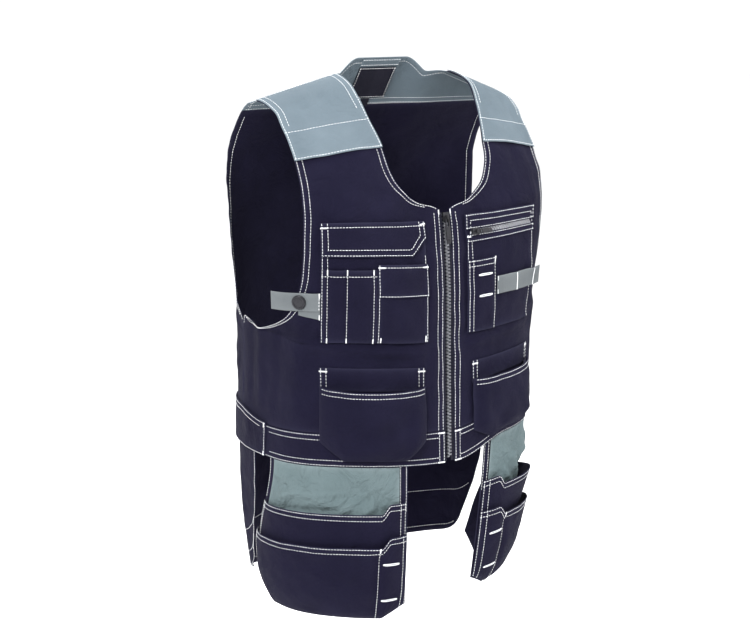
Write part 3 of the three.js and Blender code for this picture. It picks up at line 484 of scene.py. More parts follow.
def maths(tree, kind, a, b=0.0, c=None):
    node = tree.nodes.new("ShaderNodeMath")
    node.operation = kind
    for socket, value in zip(node.inputs, (a, b, c)):
        if value is None:
            continue
        if isinstance(value, (int, float)):
            socket.default_value = value
        else:
            link(tree, value, socket)
    return node.outputs[0]


weave, weave_in, weave_out = node_group(
    "twill weave",
    [("Vector", "NodeSocketVector", None), ("Ribs", "NodeSocketFloat", 1.0),
     ("Creases", "NodeSocketFloat", 1.0), ("Crease Size", "NodeSocketFloat", 26.0),
     ("Highlight Strength", "NodeSocketFloat", 0.5), ("Dark", "NodeSocketColor", (0, 0, 0, 1)),
     ("Light", "NodeSocketColor", (1, 1, 1, 1)), ("Edge Highlight", "NodeSocketColor", (1, 1, 1, 1))],
    [("Color", "NodeSocketColor"), ("Height", "NodeSocketFloat"),
     ("Roughness", "NodeSocketFloat")])
ribs = weave.nodes.new("ShaderNodeTexWave")
ribs.wave_type = "BANDS"
ribs.bands_direction = "DIAGONAL"
ribs.inputs["Scale"].default_value = 520.0
ribs.inputs["Distortion"].default_value = 1.2
ribs.inputs["Detail"].default_value = 1.0
ribs.inputs["Detail Scale"].default_value = 1.5
yarn = weave.nodes.new("ShaderNodeTexNoise")
yarn.inputs["Scale"].default_value = 1400.0
yarn.inputs["Detail"].default_value = 2.0
crease = weave.nodes.new("ShaderNodeTexNoise")
crease.inputs["Detail"].default_value = 4.0
crease.inputs["Roughness"].default_value = 0.55
crease.inputs["Distortion"].default_value = 0.6
cloud = weave.nodes.new("ShaderNodeTexNoise")
cloud.inputs["Scale"].default_value = 14.0
cloud.inputs["Detail"].default_value = 3.0
for texture in (ribs, yarn, crease, cloud):
    link(weave, weave_in.outputs["Vector"], texture.inputs["Vector"])
link(weave, weave_in.outputs["Crease Size"], crease.inputs["Scale"])
rib_height = maths(weave, "MULTIPLY", ribs.outputs["Fac"], weave_in.outputs["Ribs"])
rib_height = maths(weave, "MULTIPLY", rib_height, 0.00022)
yarn_height = maths(weave, "MULTIPLY", yarn.outputs["Fac"], 0.0001)
crease_height = maths(weave, "MULTIPLY", crease.outputs["Fac"], weave_in.outputs["Creases"])
crease_height = maths(weave, "MULTIPLY", crease_height, 0.0026)
height = maths(weave, "ADD", rib_height, yarn_height)
height = maths(weave, "ADD", height, crease_height)
link(weave, height, weave_out.inputs["Height"])
tone = weave.nodes.new("ShaderNodeMix")
tone.data_type = "RGBA"
mottle = maths(weave, "MULTIPLY_ADD", ribs.outputs["Fac"], 0.35, 0.1)
mottle = maths(weave, "ADD", mottle, maths(weave, "MULTIPLY", yarn.outputs["Fac"], 0.35))
mottle = maths(weave, "ADD", mottle, maths(weave, "MULTIPLY_ADD", cloud.outputs["Fac"], 0.9, -0.45))
link(weave, mottle, tone.inputs["Factor"])
link(weave, weave_in.outputs["Dark"], tone.inputs["A"])
link(weave, weave_in.outputs["Light"], tone.inputs["B"])
# Painted highlight: near the sewn edges the tone is mixed towards a lighter colour, standing in for
# the light that the turned edges catch.
edges = weave.nodes.new("ShaderNodeAttribute")
edges.attribute_name = "edge"
highlight_share = maths(weave, "MULTIPLY", edges.outputs["Fac"], weave_in.outputs["Highlight Strength"])
highlight_share = maths(weave, "MULTIPLY", highlight_share, maths(weave, "ADD", yarn.outputs["Fac"], 0.2))
highlighted = weave.nodes.new("ShaderNodeMix")
highlighted.data_type = "RGBA"
link(weave, highlight_share, highlighted.inputs["Factor"])
link(weave, tone.outputs["Result"], highlighted.inputs["A"])
link(weave, weave_in.outputs["Edge Highlight"], highlighted.inputs["B"])
link(weave, highlighted.outputs["Result"], weave_out.inputs["Color"])
link(weave, maths(weave, "MULTIPLY_ADD", yarn.outputs["Fac"], 0.16, 0.78),
     weave_out.inputs["Roughness"])


CLOTH_SHEEN = 0.03
CLOTH_RELIEF = 0.9


def woven(name, dark, light, edge_highlight, gleam, ribs=1.0, creases=1.0, crease_size=26.0, highlight_strength=0.5):
    material = bpy.data.materials.new(name)
    material.use_nodes = True
    tree = material.node_tree
    shader = tree.nodes["Principled BSDF"]
    cloth = tree.nodes.new("ShaderNodeGroup")
    cloth.node_tree = weave
    cut = tree.nodes.new("ShaderNodeUVMap")
    cut.uv_map = "cut"
    link(tree, cut.outputs["UV"], cloth.inputs["Vector"])
    values = {"Ribs": ribs, "Creases": creases, "Crease Size": crease_size, "Highlight Strength": highlight_strength,
              "Dark": (*dark, 1), "Light": (*light, 1), "Edge Highlight": (*edge_highlight, 1)}
    for label, value in values.items():
        cloth.inputs[label].default_value = value
    relief = tree.nodes.new("ShaderNodeBump")
    relief.inputs["Strength"].default_value = CLOTH_RELIEF
    relief.inputs["Distance"].default_value = 1.0
    link(tree, cloth.outputs["Height"], relief.inputs["Height"])
    link(tree, relief.outputs["Normal"], shader.inputs["Normal"])
    link(tree, cloth.outputs["Color"], shader.inputs["Base Color"])
    link(tree, cloth.outputs["Roughness"], shader.inputs["Roughness"])
    shader.inputs["Sheen Weight"].default_value = CLOTH_SHEEN
    shader.inputs["Sheen Roughness"].default_value = 0.45
    shader.inputs["Sheen Tint"].default_value = (*gleam, 1)
    shader.inputs["Specular IOR Level"].default_value = 0.06
    return material


# Each cloth gets dark and light tones, then a painted highlight colour for its sewn edges, then its
# sheen tint.
navy = woven("navy twill", (0.0030, 0.0026, 0.0092), (0.0088, 0.0080, 0.0215),
             (0.03, 0.03, 0.055), (0.32, 0.31, 0.5), creases=2.8)
grey = woven("blue grey twill", (0.068, 0.09, 0.108), (0.125, 0.157, 0.181),
             (0.19, 0.225, 0.25), (0.6, 0.65, 0.7), creases=2.4)
lining = woven("pale lining", (0.055, 0.08, 0.086), (0.13, 0.168, 0.176),
               (0.2, 0.24, 0.25), (0.6, 0.7, 0.7), ribs=0.4, creases=9.0, crease_size=24.0)


def grained(name, scale, detail, dark, light):
    """A material whose colour changes between two tones with a fine grain of noise."""
    material = bpy.data.materials.new(name)
    material.use_nodes = True
    tree = material.node_tree
    shader = tree.nodes["Principled BSDF"]
    grain = tree.nodes.new("ShaderNodeTexNoise")
    grain.inputs["Scale"].default_value = scale
    grain.inputs["Detail"].default_value = detail
    spot = tree.nodes.new("ShaderNodeTexCoord")
    link(tree, spot.outputs["Object"], grain.inputs["Vector"])
    tones = tree.nodes.new("ShaderNodeMix")
    tones.data_type = "RGBA"
    tones.inputs["A"].default_value = (*dark, 1)
    tones.inputs["B"].default_value = (*light, 1)
    link(tree, grain.outputs["Fac"], tones.inputs["Factor"])
    link(tree, tones.outputs["Result"], shader.inputs["Base Color"])
    return material, tree, shader, grain.outputs["Fac"]


thread, thread_tree, thread_shader, twist = grained(
    "white thread", 900.0, 2.0, (0.55, 0.57, 0.59), (0.86, 0.87, 0.88))
thread_shader.inputs["Roughness"].default_value = 0.6
thread_shader.inputs["Sheen Weight"].default_value = 0.3
fibre = thread_tree.nodes.new("ShaderNodeBump")
fibre.inputs["Strength"].default_value = 0.5
fibre.inputs["Distance"].default_value = 0.0003
link(thread_tree, twist, fibre.inputs["Height"])
link(thread_tree, fibre.outputs["Normal"], thread_shader.inputs["Normal"])


def dress(cut, material, slot, node, flat, area, held, *on):
    """Cloth of one cut piece: flat is its width and length in mm, and area its square metres;
    neither is used.
    """
    cut.made.data.materials.append(material)
    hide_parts(node)


# Back panel: one piece of navy twill from the yoke seam to the waistband, with the rear
# edges of both armholes turned in and sewn with two rows.
back_armhole = np.array([
    (0.0, 1.0), (0.2, 1.0), (0.33, 0.995), (0.46, 1.02), (0.68, 1.07), (0.83, 1.085),
    (0.93, 1.11),
])
BACK_START = 0.05 * ARMHOLE_DROP
BACK_END = HEM_DROP - 9
QUIET_DROP = BAND_DROP - 17
SEAM_SHARE = 0.004
CREST = 0.2 / (0.314 * FRONT_DEPTH)


def stepped(share, first, end):
    return np.where(share <= 1, share * first, mix(first, end, share - 1))


def side_seam(drop):
    t = (drop - ARMHOLE_DROP) / (BAND_DROP - ARMHOLE_DROP)
    share = np.where(t < 0.45, mix(2.0, 2.04, t / 0.45), mix(2.04, 2.1, (t - 0.45) / 0.55))
    return stepped(share, SHOULDER_HALF, SIDE_SEAM)


def back_half(drop):
    seam = girth(back_at(drop)) - side_seam(drop) - 0.4
    share = drop / ARMHOLE_DROP
    half = np.interp(share, back_armhole[:, 0], back_armhole[:, 1]) * BACK_SHOULDER_HALF
    low = mix(back_armhole[-1, 1] * BACK_SHOULDER_HALF, seam, ease((share - 0.93) / 0.07))
    return np.where(drop >= ARMHOLE_DROP, seam, np.where(share > 0.93, low, half))


yoke_reach = np.linspace(0, 260, 131)
yoke_line = []
for reach in yoke_reach:
    low, high = 0.02, 4.0
    for _ in range(30):
        middle = (low + high) / 2
        at = on_body(1, np.array([reach]), np.array([middle]), np.array([0.0]), True)
        if at[0, 2] > -YOKE_DEPTH * 0.001:
            low = middle
        else:
            high = middle
    yoke_line.append((low + high) / 2)


def yoke_section(reach):
    return np.interp(np.abs(reach), yoke_reach, yoke_line)


back_creases = [
    (-150, 120, -60, 210, 22, 2.2), (150, 130, 70, 230, 24, 2.0), (0, 150, 10, 330, 30, -2.2),
    (-90, 330, -60, 470, 20, 2.4), (80, 320, 110, 480, 22, 2.2), (0, 400, 20, 500, 18, 1.8),
    (-200, 360, -190, 480, 12, 2.0), (205, 350, 190, 480, 12, 2.2), (-150, 440, -30, 470, 14, -1.6),
    (40, 450, 160, 430, 13, -1.6), (-235, 360, -228, 470, 8, 1.6), (236, 360, 230, 470, 8, 1.6),
]


def back_place(a, b):
    edge = mix(BACK_START, BACK_END, b)
    reach = a * np.where(b < 0.002, BACK_SHOULDER_HALF, back_half(edge))
    top = form_at(yoke_section(reach) + SEAM_SHARE)[..., 0]
    end = form_at(back_at(np.full_like(reach, BACK_END)))[..., 0]
    q = section_of(mix(top, end, b))
    drop = mix(60, BACK_END, b)
    quiet = ease(b / 0.08) * ease((QUIET_DROP - drop) / 40)
    out = (folds(reach, drop, back_creases) + slack(reach, drop, 1)) * quiet
    return np.where(reach < 0, -1, 1), np.abs(reach), q, out, True


half_back = spaced(BACK_SHOULDER_HALF, 3.6)[2:]
back_across = np.concatenate([-half_back[::-1], [0.0], half_back])
back_panel = Cut("back_panel_cloth", back_across, spaced(475, 3.6), back_place)
dress(back_panel, navy, "navy_twill", "back_panel", (556, 508), 0.238, "hung", "back_yoke_cloth")
sew("back_stitching", back_panel, ("inner", 2.5, 0.02, 0.66), ("inner", 10, 0.02, 0.65),
    ("outer", 2.5, 0.02, 0.66), ("outer", 10, 0.02, 0.65), ("top", 2.2, 0.01, 0.99, 240),
    ("top", 9, 0.03, 0.97, 240))

# Back yoke: grey twill across the shoulder blades, up over the shoulders to their seams.
yoke_creases = [(-40, 20, -80, 40, 10, -0.9), (45, 18, 90, 38, 10, 0.9), (0, 15, 0, 45, 9, 0.6)]


def yoke_top(reach):
    opened = 1 - ease((np.abs(reach) - 0.74 * NECK_HALF) / (0.26 * NECK_HALF))
    return mix(CREST / 2, back_at(12.0), opened)


def yoke_place(a, b):
    reach = a * BACK_SHOULDER_HALF
    q = mix(yoke_top(reach), yoke_section(reach) - SEAM_SHARE, b)
    out = (folds(reach, 10 + 35 * b, yoke_creases) + 0.4 * slack(reach, 90 * b, 2)) * ease(
        4 * b) * ease(4 * (1 - b))
    return np.where(reach < 0, -1, 1), np.abs(reach), q, out, True


yoke = Cut("back_yoke_cloth", back_across, spaced(70, 2.6), yoke_place)
dress(yoke, grey, "grey_twill", "back_yoke", (480, 88), 0.0275, "draped")
sew("yoke_stitching", yoke, ("top", 2.5, 0.01, 0.99, 260), ("top", 10, 0.01, 0.99, 260),
    ("inner", 2.5), ("inner", 10), ("outer", 2.5), ("outer", 10))
sew("back_stitching", back_panel, ("inner", 10, 0.02, 0.635), ("outer", 10, 0.02, 0.635),
    inside=True)
sew("yoke_stitching", yoke, ("top", 10, 0.01, 0.99, 260), ("inner", 10),
    ("bottom", 2.2, 0.01, 0.99, 260), ("bottom", 10, 0.01, 0.99, 260), ("outer", 10), inside=True)
finish_threads("back_stitching")
finish_threads("yoke_stitching")

# Fronts: navy twill from the shoulder seam to the waistband, with the neckline, the zip edge
# and the front edge of the armhole each turned in and sewn with two rows.
front_rows = np.array([
    (1.0, 0.0, 1.0, 0.0), (1.02, 0.02, 1.0, 0.01), (1.03, 0.06, 1.0, 0.03),
    (1.03, 0.13, 0.995, 0.07), (1.01, 0.22, 0.995, 0.11), (0.98, 0.32, 0.99, 0.16),
    (0.94, 0.42, 0.99, 0.22), (0.89, 0.54, 0.99, 0.28), (0.84, 0.7, 0.995, 0.37),
    (0.7, 0.84, 1.0, 0.45), (0.44, 0.94, 1.005, 0.53), (0.09, 0.99, 1.015, 0.61),
    (0.09, 1.15, 1.03, 0.71), (0.09, 1.3, 1.07, 0.82), (0.09, 1.43, 1.22, 0.93),
    (0.09, 1.55, 1.52, 0.985), (0.09, 1.65, 1.8, 0.99), (0.09, 1.74, 2.0, 1.0),
    (0.09, 1.87, 2.04, 1.45), (0.09, 2.0, 2.1, 2.0),
])
PATCH_ROWS = 7


def smooth_rows(row):
    """The rows of the fronts, joined by smooth curves but for the corner at the zip."""
    row = np.clip(row, 0, 18.999999)
    i = row.astype(int)
    t = (row - i)[..., None]
    a, b, c, d = (front_rows[np.clip(i + k, 0, 19)] for k in (-1, 0, 1, 2))
    curve = 2 * b + (c - a) * t + (2 * a - 5 * b + 4 * c - d) * t * t
    curve = 0.5 * (curve + (3 * b - a - 3 * c + d) * t**3)
    curve[..., 0] = np.where(row > 10, mix(b, c, t)[..., 0], curve[..., 0])
    return curve


front_creases = {
    -1: [
        (115, 105, 150, 185, 24, 2.6), (165, 110, 178, 180, 18, -1.6),
        (52, 170, 36, 215, 13, -1.4), (75, 160, 95, 188, 14, 1.6),
        (45, 372, 195, 364, 8, 2.2), (60, 384, 190, 379, 6, -1.4), (100, 360, 190, 352, 6, -1.2),
        (214, 335, 226, 470, 13, 2.6), (250, 350, 262, 465, 10, -2.0),
        (290, 350, 300, 470, 11, 2.6), (318, 345, 330, 470, 8, -1.6),
        (26, 235, 30, 330, 6, 1.4), (20, 372, 32, 470, 6, 1.3), (196, 380, 190, 470, 8, -1.5),
        (205, 200, 198, 290, 9, 1.3),
    ],
    1: [
        (110, 110, 140, 180, 22, 2.4), (60, 160, 44, 205, 12, -1.4), (160, 120, 172, 185, 16, 1.5),
        (18, 200, 24, 340, 6, 1.8), (26, 250, 30, 360, 5, -1.2), (40, 366, 165, 356, 8, 2.0),
        (18, 380, 30, 470, 7, 2.0), (200, 340, 210, 470, 12, 2.4), (240, 350, 250, 470, 11, -2.0),
        (285, 350, 296, 470, 11, 2.4), (320, 345, 330, 470, 8, -1.6), (150, 250, 185, 330, 12, 1.4),
    ],
}


def front_relief(side, s, drop):
    total = 0
    for way in (-1, 1):
        mask = np.asarray(side) == way
        total = total + mask * (folds(s, drop, front_creases[way]) + slack(s, drop, 3 + way))
    return total


def front_spot(side, a, row):
    cut = smooth_rows(row)
    s = mix(cut[..., 0] * NECK_HALF, stepped(cut[..., 2], SHOULDER_HALF, SIDE_SEAM), a)
    inner = stepped(cut[..., 1], NECK_DROP, BAND_DROP)
    outer = stepped(cut[..., 3], ARMHOLE_DROP, BAND_DROP)
    under = at_drop(side, s, np.full_like(s, PATCH_DROP))
    drop = mix(inner, outer, a)
    q = np.where(row <= PATCH_ROWS, mix(CREST / 2, under, row / PATCH_ROWS),
                 at_drop(side, s, drop))
    return s, drop, q


def front_place(side):
    def place(a, row):
        s, drop, q = front_spot(side, a, row)
        quiet = ease(row / 3) * ease((19 - row) / 0.8)
        return side, s, q, front_relief(side, s, drop) * quiet, False
    return place


front_steps = [5, 4, 4, 4, 4, 4, 4, 8, 8, 8, 7, 7, 8, 8, 8, 8, 6, 6, 17, 17]
front_down = np.concatenate([[0, 0.04]] + [
    np.linspace(k, k + 1, n + 1)[1:] for k, n in enumerate(front_steps[:19])])
front_down[-1] = 18.99
front_down = np.append(front_down, 19.0)
fronts = {}
for side, label in SIDES:
    front = Cut(f"front_cloth_{label}", spaced(205, 2.8), front_down, front_place(side))
    fronts[label] = front
    dress(front, navy, "navy_twill", f"front_{label}", (364, 620), 0.1115, "hung",
        "back_yoke_cloth")
    group = f"front_stitching_{label}"
    armhole = 17.0 / 19
    sew(group, front, ("outer", 2.5, 0.004, armhole, 240),
        ("outer", 10, 0.004, armhole - 0.01, 240), ("inner", 2.5, 0.004, 10.95 / 19, 200),
        ("inner", 10, 0.004, 10.6 / 19, 200), ("inner", 2.0, 11.1 / 19, 0.999, 200),
        ("inner", 9.5, 11.1 / 19, 0.999, 200))
    tack(group, front, 0.006, 11.02, 0.006, 11.2, 2.0)
    finish_threads(group)

# Shoulder patches: a second layer of grey twill over the front shoulders, sewn with two rows
# round its edges and once across, with its lower end loose.
for side, label in SIDES:
    lift = CLOTH + GAP

    def patch_place(a, row, side=side):
        s, drop, q = front_spot(side, a, row)
        loose = ease((row - 5.2) / 1.8)
        wave = 0.8 * np.sin(0.05 * s + side) + 0.5 * np.sin(0.11 * s)
        quiet = ease(row / 3)
        out = lift + front_relief(side, s, drop) * quiet + loose * (1.4 + wave)
        out = out + 0.7 * np.exp(-(((row - 3.6) / 0.35) ** 2)) * np.sin(0.06 * s + 2 * side)
        return side, s, q, out, False

    patch_down = np.concatenate([[0, 0.04], np.linspace(0, 7, 40)[1:-1], [6.96, 7.0]])
    patch = Cut(f"shoulder_patch_cloth_{label}", spaced(112, 2.6), patch_down, patch_place)
    dress(patch, grey, "grey_twill", f"shoulder_patch_{label}", (126, 148), 0.0162, "laid",
        f"front_cloth_{label}")
    group = f"patch_stitching_{label}"
    sew(group, patch, ("outer", 2.5, 0.01, 0.99), ("outer", 10, 0.01, 0.62),
        ("inner", 2.5, 0.01, 0.99), ("inner", 10, 0.01, 0.62), ("top", 2.2),
        ("bottom", 44 if side < 0 else 37, 0.0, 1.0), ("bottom", 2.5, 0.0, 1.0))
    finish_threads(group)

# Chest pocket on the wearer's right: a patch bag with a chamfered flap, and sewn on it a
# row of pen pockets and a phone pocket under its own flap.
CHEST_OUT = CLOTH + 2 * GAP
LAYER = CLOTH + GAP
CHEST_DROP = 196.0
CHEST_INNER = 36.0
CHEST_WIDTH = 151.0
CHEST_HEIGHT = 161.0
FLAP_HEIGHT = 44.0
FLAP_CHAMFER = 24.0
PHONE_WIDTH = 76.0
PHONE_DROP = 262.0
PHONE_FLAP_DROP = 250.0
PHONE_FLAP_HEIGHT = 44.0
PEN_DROP = 257.0
PEN_DENTS = (118.0, 153.0, 178.0)
PEN_SEAMS = (117.5, 153.0, 178.5)
CHEST_END = CHEST_DROP + CHEST_HEIGHT
PEN_START = CHEST_INNER + PHONE_WIDTH + GAP
PEN_WIDTH = CHEST_WIDTH - PHONE_WIDTH - GAP
PEN_HEIGHT = CHEST_END - PEN_DROP
PHONE_HEIGHT = CHEST_END - PHONE_DROP
FLAP_LAP = 2.0


def chest_puff(s, drop):
    u = np.clip((s - CHEST_INNER) / CHEST_WIDTH, 0, 1)
    v = np.clip((drop - CHEST_DROP) / CHEST_HEIGHT, 0, 1)
    return 3.0 * np.sin(math.pi * u) * np.sin(math.pi * v)


def sewn_on(side, start, end, top, bottom, out):
    """A flat pocket piece: out and bottom are numbers, or functions of place."""
    def place(a, b):
        s = mix(start, end, a)
        low = bottom(a) if callable(bottom) else bottom
        drop = mix(top, low, b)
        away = out(a, b, s, drop) if callable(out) else out
        away = away + chest_puff(s, drop) + front_relief(side, s, drop)
        return side, s, at_drop(side, s, drop), away, False
    return place


def rolled(a, b, width, height, reach=5.0):
    """How far inside the edges a place is: 0 on the sewn edge, 1 from reach mm inwards."""
    near = np.minimum(np.minimum(a, 1 - a) * width, (1 - b) * height)
    return ease(near / reach)


def bag(width, seed):
    def out(a, b, s, drop):
        return CHEST_OUT + 0.5 * slack(s, drop, seed) * rolled(a, b, width, CHEST_HEIGHT)
    return out


chest = Cut("chest_pocket_cloth_right", spaced(CHEST_WIDTH, 2.8), spaced(CHEST_HEIGHT, 2.8),
    sewn_on(-1, CHEST_INNER, CHEST_INNER + CHEST_WIDTH, CHEST_DROP, CHEST_END, bag(CHEST_WIDTH, 6)))
dress(chest, navy, "navy_twill", "chest_pocket_right", (156, 164), 0.0251, "laid",
    "front_cloth_right")
sew("chest_stitching_right", chest, ("inner", 2.0, 0.26, 1.0), ("outer", 2.0, 0.26, 1.0),
    ("outer", 9.0, 0.26, 1.0))


def flap_end(a):
    cut = FLAP_CHAMFER * np.clip(1 - a * CHEST_WIDTH / FLAP_CHAMFER, 0, 1)
    return CHEST_DROP + FLAP_HEIGHT - cut


def flap_out(a, b, s, drop):
    lifted = ease((b - 0.35) / 0.65) * (1.6 + 0.9 * np.sin(0.045 * s + 1.0))
    return CHEST_OUT + LAYER + lifted + 0.5 * np.exp(-(((b - 0.5) / 0.3) ** 2))


flap_across = np.unique(np.concatenate([spaced(CHEST_WIDTH, 2.8), [FLAP_CHAMFER / CHEST_WIDTH]]))
flap = Cut("chest_flap_cloth_right", flap_across, spaced(FLAP_HEIGHT + FLAP_LAP, 2.6),
    sewn_on(-1, CHEST_INNER, CHEST_INNER + CHEST_WIDTH, CHEST_DROP - FLAP_LAP, flap_end, flap_out))
dress(flap, navy, "navy_twill", "chest_flap_right", (156, 49), 0.007, "hung",
    "chest_pocket_cloth_right")


def flap_row(margin):
    """A row inside the flap's edge: down the inner side, round the chamfer, along, and up."""
    high = FLAP_HEIGHT + FLAP_LAP
    corner = FLAP_CHAMFER + 0.4 * margin
    mm = np.array([
        (margin, 0), (margin, high - corner), (corner, high - margin),
        (CHEST_WIDTH - margin, high - margin), (CHEST_WIDTH - margin, 0)])
    a = mm[:, 0] / CHEST_WIDTH
    ends = flap_end(a) - CHEST_DROP + FLAP_LAP
    return a, np.clip(mm[:, 1] / ends, 0, 1)


sew("chest_stitching_right", flap, flap_row(2.2), flap_row(9.5), ("top", 6.5))
tack("chest_stitching_right", flap, 0.0, 0.15, 0.055, 0.15)
tack("chest_stitching_right", flap, 0.945, 0.15, 1.0, 0.15)


def pen_out(a, b, s, drop):
    dents = [(s - x) / 4.0 for x in PEN_DENTS]
    press = sum(np.exp(-(d**2)) for d in dents)
    open_top = 1.6 * (1 - ease(b / 0.25))
    full = 2.2 * (1 - np.clip(press, 0, 1)) * rolled(a, b, PEN_WIDTH, PEN_HEIGHT, 8)
    return CHEST_OUT + LAYER + full + 0.5 * open_top * (1 - np.clip(press, 0, 1))


pens = Cut("pen_pocket_cloth_right", spaced(PEN_WIDTH, 2.0), spaced(PEN_HEIGHT, 2.6),
    sewn_on(-1, PEN_START, PEN_START + PEN_WIDTH, PEN_DROP, CHEST_END, pen_out))
dress(pens, navy, "navy_twill", "pen_pocket_right", (82, 103), 0.0081, "laid",
    "chest_pocket_cloth_right")
pen_rows = [(s - PEN_START) / PEN_WIDTH for s in PEN_SEAMS]
sew("chest_stitching_right", pens, ("top", 9, 0, 1), *[([a, a], [0.0, 1.0]) for a in pen_rows],
    ("outer", 2.0))
for a in pen_rows:
    tack("chest_stitching_right", pens, a, 0.0, a, 0.07, 2.0)
    tack("chest_stitching_right", pens, a, 0.94, a, 1.0, 2.0)


def phone_full(s):
    return 3.0 * np.sin(math.pi * np.clip((s - CHEST_INNER) / PHONE_WIDTH, 0, 1))


def phone_out(a, b, s, drop):
    hem = 0.8 * np.exp(-(((1 - b) / 0.05) ** 2))
    return CHEST_OUT + LAYER + phone_full(s) - hem + 0.4 * slack(s, drop, 8) * rolled(
        a, b, PHONE_WIDTH, PHONE_HEIGHT)


def phone_flap_out(a, b, s, drop):
    return CHEST_OUT + 2 * LAYER + phone_full(s) + ease(b) * (1.0 + 0.5 * np.sin(0.1 * s))


phone = Cut("phone_pocket_cloth_right", spaced(PHONE_WIDTH, 2.6), spaced(PHONE_HEIGHT, 2.6),
    sewn_on(-1, CHEST_INNER, CHEST_INNER + PHONE_WIDTH, PHONE_DROP, CHEST_END, phone_out))
dress(phone, navy, "navy_twill", "phone_pocket_right", (80, 97), 0.0075, "laid",
    "chest_pocket_cloth_right")
phone_flap = Cut("phone_flap_cloth_right", spaced(PHONE_WIDTH, 2.6), spaced(PHONE_FLAP_HEIGHT, 2.4),
    sewn_on(-1, CHEST_INNER, CHEST_INNER + PHONE_WIDTH, PHONE_FLAP_DROP,
        PHONE_FLAP_DROP + PHONE_FLAP_HEIGHT, phone_flap_out))
dress(phone_flap, navy, "navy_twill", "phone_flap_right", (80, 46), 0.0035, "hung",
    "phone_pocket_cloth_right")
sew("chest_stitching_right", phone, ("inner", 2.0, 0.3, 1.0), ("outer", 2.2, 0.3, 1.0))
tack("chest_stitching_right", phone, 0.06, 0.9, 0.06, 0.99, 2.0)
tack("chest_stitching_right", phone, 0.93, 0.92, 0.93, 0.99, 2.0)
sew("chest_stitching_right", phone_flap, ("inner", 2.0), ("outer", 2.0), ("bottom", 2.0),
    ("top", 4.0))
tack("chest_stitching_right", phone_flap, 0.0, 0.09, 0.12, 0.09)
tack("chest_stitching_right", phone_flap, 0.88, 0.09, 1.0, 0.09)
finish_threads("chest_stitching_right")

# Chest pocket on the wearer's left: a patch bag closed by a zip between two welts, and a
# pen pocket with two stitched slots, its inner side under the same two rows.
LEFT_INNER = 32.0
LEFT_WIDTH = 132.0
LEFT_DROP = 190.0
CHEST_ZIP_DROP = 213.0
LEFT_PEN_WIDTH = 48.0
LEFT_PEN_DROP = 251.0
LEFT_END = LEFT_DROP + CHEST_HEIGHT
LEFT_PEN_HEIGHT = LEFT_END - LEFT_PEN_DROP
WELT_HEIGHT = 37.0
ZIP_SLIT = 3.1
LEFT_SLOTS = (273, 302)

left_chest = Cut("chest_pocket_cloth_left", spaced(LEFT_WIDTH, 2.8), spaced(CHEST_HEIGHT, 2.8),
    sewn_on(1, LEFT_INNER, LEFT_INNER + LEFT_WIDTH, LEFT_DROP, LEFT_END, bag(LEFT_WIDTH, 11)))
dress(left_chest, navy, "navy_twill", "chest_pocket_left", (137, 165), 0.0219, "laid",
    "front_cloth_left")
sew("chest_stitching_left", left_chest, ("inner", 2.0, 0.22, 1.0), ("inner", 9.0, 0.22, 1.0),
    ("outer", 2.0, 0.0, 1.0))

upper_welt = Cut("chest_zip_welt_cloth_upper", spaced(LEFT_WIDTH, 2.8), spaced(20, 2.4),
    sewn_on(1, LEFT_INNER, LEFT_INNER + LEFT_WIDTH, LEFT_DROP, CHEST_ZIP_DROP - ZIP_SLIT,
        CHEST_OUT + LAYER))
dress(upper_welt, navy, "navy_twill", "chest_zip_welt_upper", (136, 22), 0.0028, "laid",
    "chest_pocket_cloth_left")
lower_welt = Cut("chest_zip_welt_cloth_lower", spaced(LEFT_WIDTH, 2.8), spaced(11, 2.0),
    sewn_on(1, LEFT_INNER, LEFT_INNER + LEFT_WIDTH, CHEST_ZIP_DROP + ZIP_SLIT,
        LEFT_DROP + WELT_HEIGHT, CHEST_OUT + LAYER))
dress(lower_welt, navy, "navy_twill", "chest_zip_welt_lower", (136, 12), 0.0015, "laid",
    "chest_pocket_cloth_left")
sew("chest_stitching_left", upper_welt, ("top", 2.0), ("top", 9.5, 0.06, 0.95), ("bottom", 2.0),
    ("inner", 2.0), ("inner", 9.0, 0.45, 1.0), ("outer", 2.0), ("outer", 8.0, 0.45, 1.0))
sew("chest_stitching_left", lower_welt, ("top", 2.0), ("bottom", 2.0), ("inner", 2.0),
    ("outer", 2.0))
tack("chest_stitching_left", lower_welt, 0.0, 0.3, 0.05, 0.3)


def left_pen_out(a, b, s, drop):
    press = np.exp(-(((s - LEFT_INNER - 9) / 4.0) ** 2))
    full = 1.8 * (1 - press) * rolled(a, b, LEFT_PEN_WIDTH, LEFT_PEN_HEIGHT, 8)
    return CHEST_OUT + LAYER + full


left_pen = Cut("pen_pocket_cloth_left", spaced(LEFT_PEN_WIDTH, 2.2), spaced(LEFT_PEN_HEIGHT, 2.6),
    sewn_on(1, LEFT_INNER, LEFT_INNER + LEFT_PEN_WIDTH, LEFT_PEN_DROP, LEFT_END, left_pen_out))
dress(left_pen, navy, "navy_twill", "pen_pocket_left", (51, 102), 0.005, "laid",
    "chest_pocket_cloth_left")
sew("chest_stitching_left", left_pen, ("inner", 2.2), ("inner", 9.0), ("outer", 2.2), ("top", 2.0),
    ("top", 9.0))


def slot_tack(group, cut, first, last, drop, share_at):
    """A stitched slot: a narrow ring of close threads round a slit, level at some drop."""
    turn_round = np.linspace(0, 2 * math.pi, 49)
    wide = np.sign(np.cos(turn_round)) * np.abs(np.cos(turn_round)) ** 0.45
    high = np.sign(np.sin(turn_round)) * np.abs(np.sin(turn_round)) ** 0.8
    a = (first + last) / 2 + (last - first) / 2 * wide
    b = share_at(a, drop + 1.0 * high)
    spot, normal = cut.surface(a, b)
    centre, ahead, up = resampled(spot, normal, 0.8)
    lay_threads(group, centre + up * TACK_LIFT, np.cross(up, ahead), up, 1.4, 0.9, 0.9)


